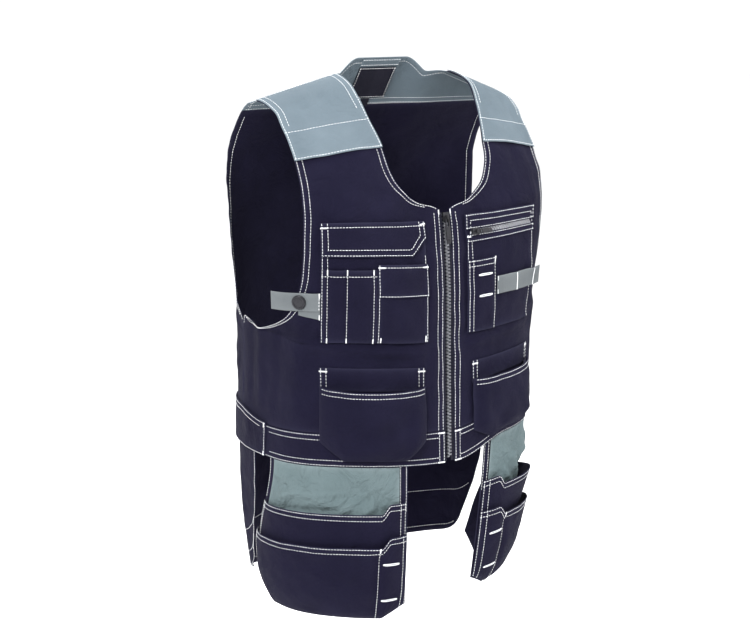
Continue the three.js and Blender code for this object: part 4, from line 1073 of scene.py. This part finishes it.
def left_pen_share(a, drop):
    return (drop - LEFT_PEN_DROP) / LEFT_PEN_HEIGHT + 0 * a


for level in LEFT_SLOTS:
    slot_tack("chest_stitching_left", left_pen, 0.34, 0.82, level, left_pen_share)
tack("chest_stitching_left", left_pen, 1.0, 0.0, 0.95, 0.08)
finish_threads("chest_stitching_left")

# Lower pockets: navy bellows pockets over the waistband, each under a sewn strip, with a
# double hem at the sagging mouth and both lower corners cut off.
TAB_OUT = CLOTH + GAP
LOWER_DROP = 392.0
LOWER_INNER = 40.0
LOWER_WIDTH = 149.0
LOWER_STRIP = 32.0
MOUTH_DROP = LOWER_DROP + 26.0
LOWER_HEIGHT = 102.0
LOWER_DEPTH = 20.0
LEFT_LOWER_WIDTH = 136.0
LEFT_LOWER_DEPTH = 12.0
LOWER_CHAMFER = 32.0
RIM_OUT = BAND_CLOTH + GAP + CLOTH + 0.4


def swell(a):
    return np.sin(math.pi / 2 * np.clip(a / 0.17, 0, 1)) ** 0.7


def pocket_rise(a):
    return np.minimum(swell(a), swell(1 - a))


def uneven(length, step, close=0.2):
    """Shares closer together near both ends, where a bellows turns in."""
    t = np.linspace(0, 1, round(length / step) + 9)
    return mix(t, 0.5 - 0.5 * np.cos(math.pi * t), 1 - close)


pouch_creases = {
    -1: [(60, 440, 150, 430, 10, 1.6), (80, 470, 170, 500, 12, -2.0), (70, 455, 75, 505, 9, -1.6),
         (165, 440, 160, 500, 9, 1.6), (110, 455, 120, 500, 16, 2.0)],
    1: [(60, 440, 130, 430, 10, 1.4), (70, 470, 90, 505, 10, -2.0), (120, 440, 150, 500, 12, 1.8),
        (165, 430, 160, 490, 8, -1.4)],
}
for side, label in SIDES:
    pocket_width = LEFT_LOWER_WIDTH if side > 0 else LOWER_WIDTH
    pocket_depth = LEFT_LOWER_DEPTH if side > 0 else LOWER_DEPTH

    def strip_place(a, b, side=side, width=pocket_width):
        s = mix(LOWER_INNER, LOWER_INNER + width, a)
        drop = mix(LOWER_DROP, LOWER_DROP + LOWER_STRIP, b)
        out = TAB_OUT + front_relief(side, s, drop)
        return side, s, at_drop(side, s, drop), out, False

    strip = Cut(f"lower_pocket_strip_cloth_{label}", spaced(pocket_width, 2.8),
        spaced(LOWER_STRIP, 2.6), strip_place)
    strip_area = 0.0039 if side > 0 else 0.0049
    dress(strip, navy, "navy_twill", f"lower_pocket_strip_{label}", (pocket_width + 4, 33),
        strip_area, "laid", f"front_cloth_{label}")

    def pouch_place(a, b, side=side, width=pocket_width, depth=pocket_depth):
        s = mix(LOWER_INNER, LOWER_INNER + width, a)
        near = np.minimum(a, 1 - a) * width
        cut = 0.8 * np.clip(1 - near / LOWER_CHAMFER, 0, 1) * LOWER_CHAMFER
        mouth = MOUTH_DROP + 5 * np.sin(math.pi * a)
        drop = mix(mouth, MOUTH_DROP + LOWER_HEIGHT - cut, b)
        deep = mix(0.62, 1, ease(b / 0.55)) * np.sqrt(
            np.clip(1 - np.clip((b - 0.7) / 0.3, 0, 1) ** 2.4, 0, 1))
        out = RIM_OUT + depth * pocket_rise(a) * deep
        out = out + front_relief(side, s, drop) * (1 - ease((drop - 455) / 25))
        soft = folds(s, drop, pouch_creases[side]) + slack(s, drop, 15 + side)
        out = out + soft * ease(5 * a) * ease(5 * (1 - a)) * ease((1 - b) / 0.15)
        out = out - 0.5 * np.exp(-(((b * LOWER_HEIGHT - 4) / 1.6) ** 2)) * ease(8 * a)
        return side, s, at_drop(side, s, drop), out, False

    pouch = Cut(f"lower_pocket_cloth_{label}", uneven(pocket_width, 2.4), uneven(LOWER_HEIGHT, 2.4),
        pouch_place, square=True)
    pouch_flat, pouch_area = ((165, 96), 0.0127) if side > 0 else ((195, 113), 0.0183)
    dress(pouch, navy, "navy_twill", f"lower_pocket_{label}", pouch_flat, pouch_area, "hung",
        f"front_cloth_{label}")
    group = f"lower_pocket_stitching_{label}"
    sew(group, pouch, ("top", 2.2, 0.03, 0.97), ("top", 8.5, 0.03, 0.97))
    sew(group, strip, *[([a, a], [0.0, 0.85]) for a in (0.016, 0.065, 0.935, 0.984)])
    tack(group, strip, 0.0, 0.16, 0.075, 0.16)
    tack(group, strip, 0.925, 0.16, 1.0, 0.16)
    finish_threads(group)

# Waistband: doubled twill, in a front part on each side that runs past the side seam and a
# taller back part that laps over them, sewn along both edges and down each lap.
LAP_AROUND = 285.0
LAP_TUCK = 57.0
BAND_TOP = BAND_DROP + 0.9


def band_relief(s, drop):
    return slack(s, drop, 21, 0.8) * ease((drop - BAND_DROP) / 10) * ease((HEM_DROP - drop) / 8)


for side, label in SIDES:

    def band_place(a, b, side=side):
        s = mix(ZIP_EDGE, LAP_AROUND + LAP_TUCK, a)
        drop = mix(BAND_TOP, HEM_DROP, b)
        out = 0.6 * band_relief(s, drop) * ease((270 - s) / 20)
        return side, s, at_drop(side, s, drop), out, False

    band = Cut(f"waistband_cloth_{label}", spaced(334, 3.2), spaced(45, 2.6), band_place,
        BAND_CLOTH)
    dress(band, navy, "navy_twill", f"waistband_front_{label}", (350, 48), 0.0152, "hung",
        f"front_cloth_{label}")
    group = f"waistband_stitching_{label}"
    sew(group, band, ("top", 2.2, 0.0, 0.84, 240), ("top", 9.0, 0.03, 0.8, 240),
        ("bottom", 2.2, 0.0, 0.84, 240), ("bottom", 9.0, 0.03, 0.8, 240), ("inner", 2.0),
        ("inner", 9.5))
    tack(group, band, 0.0, 0.05, 0.034, 0.05)
    tack(group, band, 0.0, 0.96, 0.034, 0.96)
    finish_threads(group)


def back_band_place(a, b):
    half = girth(back_at(np.full_like(a, HEM_DROP))) - LAP_AROUND
    reach = mix(-half, half, a)
    inside = half - np.abs(reach)
    lapped = 1 - ease((inside - LAP_TUCK) / 24)
    top = BAND_DROP - 3 - 10 * ease(inside / 90)
    drop = mix(top, HEM_DROP, b)
    out = mix(CLOTH + GAP, BAND_CLOTH + GAP, lapped) + 0.6 * band_relief(reach, drop)
    return np.where(reach < 0, -1, 1), np.abs(reach), back_at(drop), out, True


back_band = Cut("waistband_cloth_back", spaced(660, 3.4), spaced(54, 2.8), back_band_place,
    BAND_CLOTH)
dress(back_band, navy, "navy_twill", "waistband_back", (716, 62), 0.0421, "hung",
    "back_panel_cloth")
sew("waistband_stitching_back", back_band, ("top", 2.2, 0, 1, 400), ("bottom", 2.2, 0, 1, 400),
    ("top", 9, 0.02, 0.98, 400), ("inner", 2.2), ("outer", 2.2))
for a in (0.005, 0.995):
    tack("waistband_stitching_back", back_band, a, 0.02, a, 0.16, 2.0)
    tack("waistband_stitching_back", back_band, a, 0.86, a, 0.98, 2.0)
finish_threads("waistband_stitching_back")

# Holsters: a navy backing hangs inside the waistband, lined at its top with pale cloth, and
# carries two pocket fronts, one behind the other. The inner strip of each mouth is stitched
# off for a hammer, with two slots. The pockets on the wearer's left gape.
HOLSTER_OUT = -CLOTH - 1.3
HOLSTER_TOP = HEM_DROP - 24
HOLSTER_INNER = 66.0
HOLSTER_WIDTH = 252.0
HOLSTER_CHAMFER = 34.0
HOLSTER_END = HEM_DROP + HANG_DROP + 5
UPPER_MOUTH = 65.0
LOWER_MOUTH = 110.0
LEFT_GAPE = 9.0
LEFT_SWAY = 20.0
HAMMER_SLOTS = (663, 716)
HAMMER_ROW = 0.172
LINING_MARGIN = 13.0
LINING_WIDTH = HOLSTER_WIDTH - 2 * LINING_MARGIN
LINING_CLOTH = 0.9
holster_across = uneven(HOLSTER_WIDTH, 3.0, 0.45)


def holster_outer(drop):
    return HOLSTER_INNER + mix(214, HOLSTER_WIDTH, ease((drop - HEM_DROP) / 150))


def holster_bottom(a):
    inner = np.clip(1 - a * HOLSTER_WIDTH / HOLSTER_CHAMFER, 0, 1) * 0.65
    outer = np.clip(1 - (1 - a) * HOLSTER_WIDTH / (1.4 * HOLSTER_CHAMFER), 0, 1)
    return HOLSTER_END - (inner + outer) * HOLSTER_CHAMFER


def holster_spot(side, a, drop, out, margin=0.0):
    s = mix(HOLSTER_INNER + margin, holster_outer(drop) - margin, a)
    sway = LEFT_SWAY * np.clip((drop - HEM_DROP) / HANG_DROP, 0, 1) if side > 0 else 0
    return side, s, at_drop(side, s, drop), out - sway, False


def step_up(a):
    return 14 * (1 - ease((a * HOLSTER_WIDTH - 42 + 14) / 14))


def lower_share(a, drop):
    mouth = HEM_DROP + LOWER_MOUTH - step_up(a)
    return (drop - mouth) / (holster_bottom(a) - 2 - mouth)


for side, label in SIDES:
    rim = HOLSTER_OUT + 2 * CLOTH + GAP

    def gape(a, side=side):
        return LEFT_GAPE * ease(a / 0.5) * ease((1 - a) / 0.3) if side > 0 else 0 * a

    def backing_place(a, b, side=side):
        return holster_spot(side, a, mix(HOLSTER_TOP, holster_bottom(a), b), HOLSTER_OUT + 0 * a)

    backing = Cut(f"holster_backing_cloth_{label}", holster_across, spaced(240, 3.4), backing_place)
    dress(backing, navy, "navy_twill", f"holster_back_{label}", (265, 262), 0.0552, "hung",
        f"waistband_cloth_{label}")

    def lining_place(a, b, side=side):
        drop = mix(HEM_DROP + 1, HEM_DROP + UPPER_MOUTH + 20, b)
        s = LINING_WIDTH * a
        ruck = ease(5 * a) * ease(5 * (1 - a)) * ease((b - 0.05) / 0.3)
        creased = folds(s, 85 * b, [
            (20, 5, 90, 60, 7, 2.4), (60, 30, 190, 44, 8, 2.6), (150, 20, 215, 60, 7, 2.2),
            (90, 60, 180, 66, 6, -1.6), (185, 10, 200, 40, 6, 1.6), (40, 50, 70, 78, 6, 1.8)])
        out = HOLSTER_OUT + CLOTH + 1.3 + (1.4 * creased + 1.6) * ruck
        return holster_spot(side, a, drop, out, LINING_MARGIN)

    liner = Cut(f"holster_lining_cloth_{label}", spaced(LINING_WIDTH, 2.4), spaced(84, 2.4),
        lining_place, LINING_CLOTH)
    dress(liner, lining, "lining", f"holster_lining_{label}", (226, 100), 0.0176, "hung",
        f"waistband_cloth_{label}")

    def upper_place(a, b, side=side):
        drop = mix(HEM_DROP + UPPER_MOUTH - step_up(a), HEM_DROP + LOWER_MOUTH + 16, b)
        deep = (10 + gape(a) * (1 - b)) * pocket_rise(a)
        return holster_spot(side, a, drop, rim + deep, 3.0)

    upper = Cut(f"holster_pocket_cloth_upper_{label}", holster_across, spaced(62, 2.8), upper_place,
        square=True)
    dress(upper, navy, "navy_twill", f"holster_pocket_upper_{label}", (264, 80), 0.016, "hung",
        f"holster_backing_cloth_{label}")

    def lower_place(a, b, side=side):
        drop = mix(HEM_DROP + LOWER_MOUTH - step_up(a), holster_bottom(a) - 2, b)
        close = np.sqrt(np.clip(1 - np.clip((b - 0.45) / 0.55, 0, 1) ** 2, 0, 1))
        deep = (16 + gape(a) * 0.4 * (1 - b)) * pocket_rise(a) * close
        out = rim + (CLOTH + GAP) * (1 - b**2) + deep
        s = a * HOLSTER_WIDTH
        out = out - 4.0 * np.exp(-(((s - 44) / 7) ** 2)) * close * ease(6 * b)
        out = out + slack(s, drop, 31 + side, 1.2) * pocket_rise(a) * close
        return holster_spot(side, a, drop, out, 1.0)

    lower = Cut(f"holster_pocket_cloth_lower_{label}", holster_across, spaced(112, 2.8),
        lower_place, square=True)
    dress(lower, navy, "navy_twill", f"holster_pocket_lower_{label}", (290, 128), 0.03, "hung",
        f"holster_backing_cloth_{label}")
    group = f"holster_stitching_{label}"
    sew(group, backing, ("inner", 2.2, 0.1, 0.4), ("inner", 11, 0.1, 0.38),
        ("outer", 2.2, 0.1, 0.4), ("outer", 11, 0.1, 0.38))
    sew(group, upper, ("top", 2.2, 0, 1, 240), ("top", 9, 0, 1, 240), ("inner", 2.2), ("inner", 11),
        ("outer", 2.2), ("outer", 11))
    sew(group, lower, ("top", 2.2, 0, 1, 240), ("top", 9, 0, 1, 240), ("inner", 2.2), ("inner", 11),
        ("outer", 2.2), ("outer", 11), ([HAMMER_ROW, HAMMER_ROW], [0.0, 1.0]))
    for level in HAMMER_SLOTS:
        slot_tack(group, lower, 0.06, 0.15, level, lower_share)
    tack(group, lower, HAMMER_ROW, 0.0, HAMMER_ROW, 0.06)
    finish_threads(group)

# Back tail: a long flap of navy twill sewn inside the back waistband, with a row across it
# where the facing ends, a row near its round lower edge and slanted rows at the corners.
TAIL_EDGE = 326.0
TAIL_ROUND = 40.0
TAIL_TOP = HEM_DROP - 24
TAIL_END = HEM_DROP + HANG_DROP


def tail_place(a, b):
    half = girth(back_at(mix(TAIL_TOP, TAIL_END, b))) - TAIL_EDGE
    reach = mix(-half, half, a)
    corner = np.clip((np.abs(reach) - half + TAIL_ROUND) / TAIL_ROUND, 0, 1)
    rise = 26 * ease((np.abs(reach) - 100) / 180)
    end = TAIL_END - rise - TAIL_ROUND * (1 - np.sqrt(1 - (0.98 * corner) ** 2))
    drop = mix(TAIL_TOP, end, b)
    sway = folds(reach, drop, [
        (-150, 560, -170, 740, 26, 3.0), (-60, 560, -50, 740, 26, -2.6),
        (40, 560, 60, 740, 28, 3.0), (150, 560, 165, 740, 24, -2.4),
        (230, 560, 236, 730, 16, 2.0), (-240, 560, -236, 730, 16, 2)])
    out = HOLSTER_OUT + (sway + slack(reach, drop, 41)) * ease((drop - HEM_DROP - 4) / 60)
    return np.where(reach < 0, -1, 1), np.abs(reach), back_at(drop), out, True


half_tail = uneven(80, 1.0, 0.7)
tail_across = 0.5 + 0.5 * np.concatenate([-half_tail[:0:-1], half_tail])
tail = Cut("back_tail_cloth", tail_across, spaced(235, 3.6), tail_place)
dress(tail, navy, "navy_twill", "back_tail", (622, 246), 0.134, "hung", "waistband_cloth_back")


def tail_row(margin, end):
    """A row across the tail, with its ends slanting up to a share of each side."""
    a, b = tail.beside("bottom", margin, 0.1, 0.9, 300)
    side_a = np.linspace(0.001, 0.1, 40)[:-1]
    side_b = np.linspace(end, b[0], 40)[:-1]
    return (np.concatenate([side_a, a, 1 - side_a[::-1]]),
            np.concatenate([side_b, b, side_b[::-1]]))


sew("tail_stitching", tail, ("bottom", 2.5, 0, 1, 400), tail_row(60, 0.67), tail_row(24, 0.85),
    ("inner", 2.5, 0.1, 0.98), ("outer", 2.5, 0.1, 0.98))
sew("tail_stitching", tail, ("bottom", 9, 0.04, 0.96, 400), ("bottom", 67, 0.02, 0.98, 400),
    inside=True)
finish_threads("tail_stitching")

# Front zip: dark woven tapes behind the front edges and a closed chain of coarse metal teeth.
# Its third colour is a painted highlight along the tape's sewn edges.
tape = woven("zip tape", (0.006, 0.006, 0.012), (0.018, 0.018, 0.028), (0.03, 0.03, 0.04),
             (0.5, 0.5, 0.6), ribs=1.5, creases=0.1, highlight_strength=0.2)
TOOTH_PITCH = 2.35
TOOTH_LENGTH = 0.0047
ZIP_TOP = NECK_DROP + 2
ZIP_END = HEM_DROP - 2
TAPE_CLOTH = 0.9
TAPE_OUT = -TAPE_CLOTH - GAP
TAPE_START = 3.6
TAPE_WIDTH = 20.6
for side, label in SIDES:

    def tape_place(a, b, side=side):
        s = TAPE_START + TAPE_WIDTH * a
        drop = mix(ZIP_TOP, ZIP_END, b)
        return side, s, at_drop(-1, 0 * s, drop), TAPE_OUT + 0 * s, False

    band = Cut(f"zip_tape_cloth_{label}", spaced(TAPE_WIDTH, 2.0), spaced(ZIP_END - ZIP_TOP, 3.0),
        tape_place, TAPE_CLOTH)
    dress(band, tape, "dark_tape", f"zip_tape_{label}", (21, 346), 0.0072, "hung",
        f"front_cloth_{label}")

metal, metal_tree, metal_shader, tarnish = grained(
    "gunmetal", 700.0, 2.0, (0.1, 0.1, 0.115), (0.42, 0.43, 0.46))
metal_shader.inputs["Metallic"].default_value = 1.0
link(metal_tree, maths(metal_tree, "MULTIPLY_ADD", tarnish, 0.25, 0.2),
     metal_shader.inputs["Roughness"])

tooth_shape = np.array([
    (-1, -1, 0), (1, -0.55, 0), (1, 0.55, 0), (-1, 1, 0),
    (-1, -0.9, 0.75), (0.9, -0.5, 0.8), (0.9, 0.5, 0.8), (-1, 0.9, 0.75),
    (-0.8, -0.55, 1), (0.6, -0.3, 1), (0.6, 0.3, 1), (-0.8, 0.55, 1),
])
tooth_faces = [
    (3, 2, 1, 0), (0, 1, 5, 4), (1, 2, 6, 5), (2, 3, 7, 6), (3, 0, 4, 7),
    (4, 5, 9, 8), (5, 6, 10, 9), (6, 7, 11, 10), (7, 4, 8, 11), (8, 9, 10, 11),
]


def chain(name, node, s, q, low, high, half, tall):
    """Teeth in two facing rows, each tooth reaching past the middle into the other row."""
    spots = on_body(1, s, q, low)
    raised = on_body(1, s, q, high) - spots
    raised /= np.linalg.norm(raised, axis=-1, keepdims=True)
    ahead = np.gradient(spots, axis=0)
    ahead /= np.linalg.norm(ahead, axis=-1, keepdims=True)
    across = np.cross(ahead, raised)
    points = []
    faces = []
    for k in range(len(spots)):
        way = 1 if k % 2 else -1
        centre = spots[k] - across[k] * way * half * 0.42
        frame_of = np.stack([across[k] * way * half * 0.62, ahead[k] * TOOTH_LENGTH * 0.36,
                             raised[k] * tall])
        base = len(points)
        points += (centre + tooth_shape @ frame_of).tolist()
        ring = tooth_faces if way > 0 else [f[::-1] for f in tooth_faces]
        faces += [tuple(base + i for i in f) for f in ring]
    made = mesh_object(name, points, faces, smooth=False)
    bpy.context.view_layer.objects.active = made
    made.select_set(True)
    bpy.ops.object.mode_set(mode="EDIT")
    bpy.ops.mesh.select_all(action="SELECT")
    bpy.ops.mesh.normals_make_consistent(inside=False)
    bpy.ops.object.mode_set(mode="OBJECT")
    made.select_set(False)
    made.data.materials.append(metal)
    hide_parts(node)


count = int((ZIP_END - ZIP_TOP - 6) / TOOTH_PITCH)
drops = ZIP_TOP + 3 + TOOTH_PITCH * np.arange(count)
zeros = np.zeros(count)
q = at_drop(-1, zeros, drops)
chain("zip_chain", "zip_teeth", zeros, q, zeros - 1.4, zeros, 0.0033, 0.0030)

count = int((LEFT_WIDTH - 16) / TOOTH_PITCH)
around = LEFT_INNER + 8 + TOOTH_PITCH * np.arange(count)
level = np.full(count, CHEST_ZIP_DROP)
lift = CHEST_OUT + LAYER + chest_puff(around, level) + front_relief(1, around, level)
q = at_drop(1, around, level)
chain("chest_zip_chain", "chest_zip_teeth", around, q, lift - 0.2, lift + 1.0, 0.0028, 0.0022)

black, black_tree, black_shader, scuff = grained(
    "black enamel", 500.0, 4.0, (0.006, 0.006, 0.008), (0.03, 0.03, 0.036))
black_shader.inputs["Metallic"].default_value = 0.6
link(black_tree, maths(black_tree, "MULTIPLY_ADD", scuff, 0.3, 0.22),
     black_shader.inputs["Roughness"])
for name in ("zip_slider", "zip_puller", "chest_zip_slider", "chest_zip_puller"):
    nodes[name].data.materials.clear()
    nodes[name].data.materials.append(black)

# Elastic adjusters: ribbed pale webbing, sewn at the pocket. The right one crosses the
# armhole's edge and closes with a snap, and the end of the left one stands off the cloth.
# Its third colour is a painted highlight along the webbing's edges.
elastic = woven("ribbed elastic", (0.058, 0.066, 0.072), (0.145, 0.157, 0.164), (0.2, 0.215, 0.222),
                (0.7, 0.7, 0.7), ribs=0.6, creases=0.2, highlight_strength=0.2)
ELASTIC = 1.6
WEBBING = 25.0
RIGHT_TAB_START = CHEST_INNER + CHEST_WIDTH + GAP
RIGHT_TAB_END = 257.0
RIGHT_TAB_DROP = 289.0
RIGHT_TAIL_END = 217.0
RIGHT_TAIL_DROP = 297.0
RIGHT_TAIL_WIDTH = 23.0
LEFT_TAB_START = LEFT_INNER + LEFT_PEN_WIDTH + GAP
LEFT_TAB_END = 182.0
LEFT_TAB_DROP = 279.0
LEFT_FOLDS = (118.0, 158.0)


def right_tab_place(a, b):
    s = mix(RIGHT_TAB_START, RIGHT_TAB_END, a)
    drop = RIGHT_TAB_DROP + WEBBING * b
    ribs_up = 0.25 * np.sin(2 * math.pi * s / 2.4)
    hold = ease((210 - s) / 8)
    out = TAB_OUT + ELASTIC + GAP + 0.15 * ribs_up + front_relief(-1, s, drop) * hold
    out = out + 2.0 * ease((s - 200) / 40)
    return -1, s, at_drop(-1, s, drop), out, False


right_tab = Cut("elastic_cloth_right", spaced(70, 1.1), spaced(WEBBING, 2.0), right_tab_place,
    ELASTIC)
dress(right_tab, elastic, "webbing", "elastic_tab_right", (76, 26), 0.0019, "stretched",
    "front_cloth_right")


def right_tail_place(a, b):
    s = mix(RIGHT_TAB_START, RIGHT_TAIL_END, a)
    drop = RIGHT_TAIL_DROP + RIGHT_TAIL_WIDTH * b + 6 * (1 - a)
    out = TAB_OUT + 0.15 * np.sin(2 * math.pi * s / 2.4) + front_relief(-1, s, drop)
    return -1, s, at_drop(-1, s, drop), out, False


right_tail = Cut("elastic_end_cloth_right", spaced(RIGHT_TAIL_END - RIGHT_TAB_START, 1.1),
    spaced(RIGHT_TAIL_WIDTH, 2.0), right_tail_place, ELASTIC)
dress(right_tail, elastic, "webbing", "elastic_tail_right", (33, 25), 0.0007, "stretched",
    "front_cloth_right")


def left_tab_place(a, b):
    s = mix(LEFT_TAB_START, LEFT_TAB_END, a)
    drop = LEFT_TAB_DROP + WEBBING * b
    ribs_up = np.where(s < LEFT_FOLDS[0], 0.35 * np.sin(2 * math.pi * s / 3.2), 0.1 * np.sin(2 * s))
    out = CHEST_OUT + LAYER + 4.0 + 3 * a * a + ribs_up + chest_puff(s, drop) * 0.2
    out = out + front_relief(1, s, drop) * ease((175 - s) / 20)
    for fold, high in zip(LEFT_FOLDS, (1.4, 1.2)):
        out = out + high * np.exp(-(((s - fold) / 5) ** 2))
    return 1, s, at_drop(1, s, drop), out, False


left_tab = Cut("elastic_cloth_left", spaced(LEFT_TAB_END - LEFT_TAB_START, 1.1),
    spaced(WEBBING, 2.0), left_tab_place, ELASTIC)
dress(left_tab, elastic, "webbing", "elastic_tab_left", (113, 27), 0.0028, "stretched",
    "chest_pocket_cloth_left")
sew("elastic_stitching", right_tab, ([0.02, 0.02], [0.05, 0.95]))
for a in (0.37, 0.76):
    tack("elastic_stitching", left_tab, a, 0.02, a, 0.98, 1.4)
tack("elastic_stitching", left_tab, 0.01, 0.0, 0.01, 0.25, 2.0)
tack("elastic_stitching", left_tab, 0.01, 0.75, 0.01, 1.0, 2.0)
tack("elastic_stitching", right_tab, 0.015, 0.0, 0.015, 0.25, 2.0)
tack("elastic_stitching", right_tail, 0.03, 0.7, 0.03, 1.0, 2.0)
finish_threads("elastic_stitching")
nodes["snap_button_right"].data.materials.clear()
nodes["snap_button_right"].data.materials.append(black)

# Inside the back neck: a grey hanger strip and a dark blank label, each sewn to the inner face of
# the yoke, and a small blank size tab laid on that face.
NECK_CLOTH = 0.9
NECK_OUT = -1.4


def neck_piece(name, half, top, height, material, slot, node, flat, area):
    def place(a, b):
        reach = mix(-half, half, a)
        return (np.where(reach < 0, -1, 1), np.abs(reach), section_of(-mix(top, top + height, b)),
                NECK_OUT + 0 * a, True)

    made = Cut(name, spaced(2 * half, 2.4), spaced(height, 2.0), place, NECK_CLOTH)
    dress(made, material, slot, node, flat, area, "laid", "back_yoke_cloth")
    return made


hanger = neck_piece("hanger_strip_cloth", 32, 13, 9, grey, "grey_twill", "hanger_strip",
                    (64, 14.5), 0.0009)
label_patch = neck_piece("label_patch_cloth", 31, 24, 38, tape, "dark_tape", "label_patch",
                         (62, 55), 0.0034)
neck_piece("size_tab_cloth", 7, 63, 9, tape, "dark_tape", "size_tab", (14, 13), 0.00018)
sew("neck_stitching", hanger, ("top", 2), ("bottom", 2), inside=True)
sew("neck_stitching", label_patch, *[(edge, 2) for edge in ("top", "bottom", "inner", "outer")],
    inside=True)
finish_threads("neck_stitching")

# Pale floor and soft studio light from four sides, with a white world behind, so that the
# picture has a plain white ground.
bpy.ops.mesh.primitive_plane_add(size=40, location=(0, 0, -1.25))
floor = bpy.context.object
floor.name = "floor"
floor_material = bpy.data.materials.new("floor")
floor_material.use_nodes = True
floor_inputs = floor_material.node_tree.nodes["Principled BSDF"].inputs
floor_inputs["Base Color"].default_value = (0.95, 0.95, 0.95, 1)
floor_inputs["Roughness"].default_value = 0.9
floor.data.materials.append(floor_material)
world = bpy.data.worlds.new("studio")
scene.world = world
world.use_nodes = True
world.node_tree.nodes["Background"].inputs["Color"].default_value = (1, 1, 1, 1)
world.node_tree.nodes["Background"].inputs["Strength"].default_value = 1.08


def softbox(name, place_at, target, size, power):
    light = bpy.data.lights.new(name, "AREA")
    light.shape = "RECTANGLE"
    light.size, light.size_y = size
    light.energy = power
    lamp = bpy.data.objects.new(name, light)
    lamp.location = place_at
    aim = Vector(target) - Vector(place_at)
    lamp.rotation_euler = aim.to_track_quat("-Z", "Y").to_euler()
    scene.collection.objects.link(lamp)


softbox("key", (-2.4, -1.9, 1.5), (0, 0, -0.3), (1.1, 1.1), 170)
softbox("side", (2.4, -1.4, 0.6), (0, 0, -0.3), (0.9, 1.6), 60)
softbox("top", (0.2, -0.2, 2.4), (0, 0, -0.2), (1.2, 1.2), 80)
softbox("back", (0.6, 2.8, 1.2), (0, 0, -0.3), (1.4, 1.4), 90)
scene.view_settings.view_transform = "Standard"
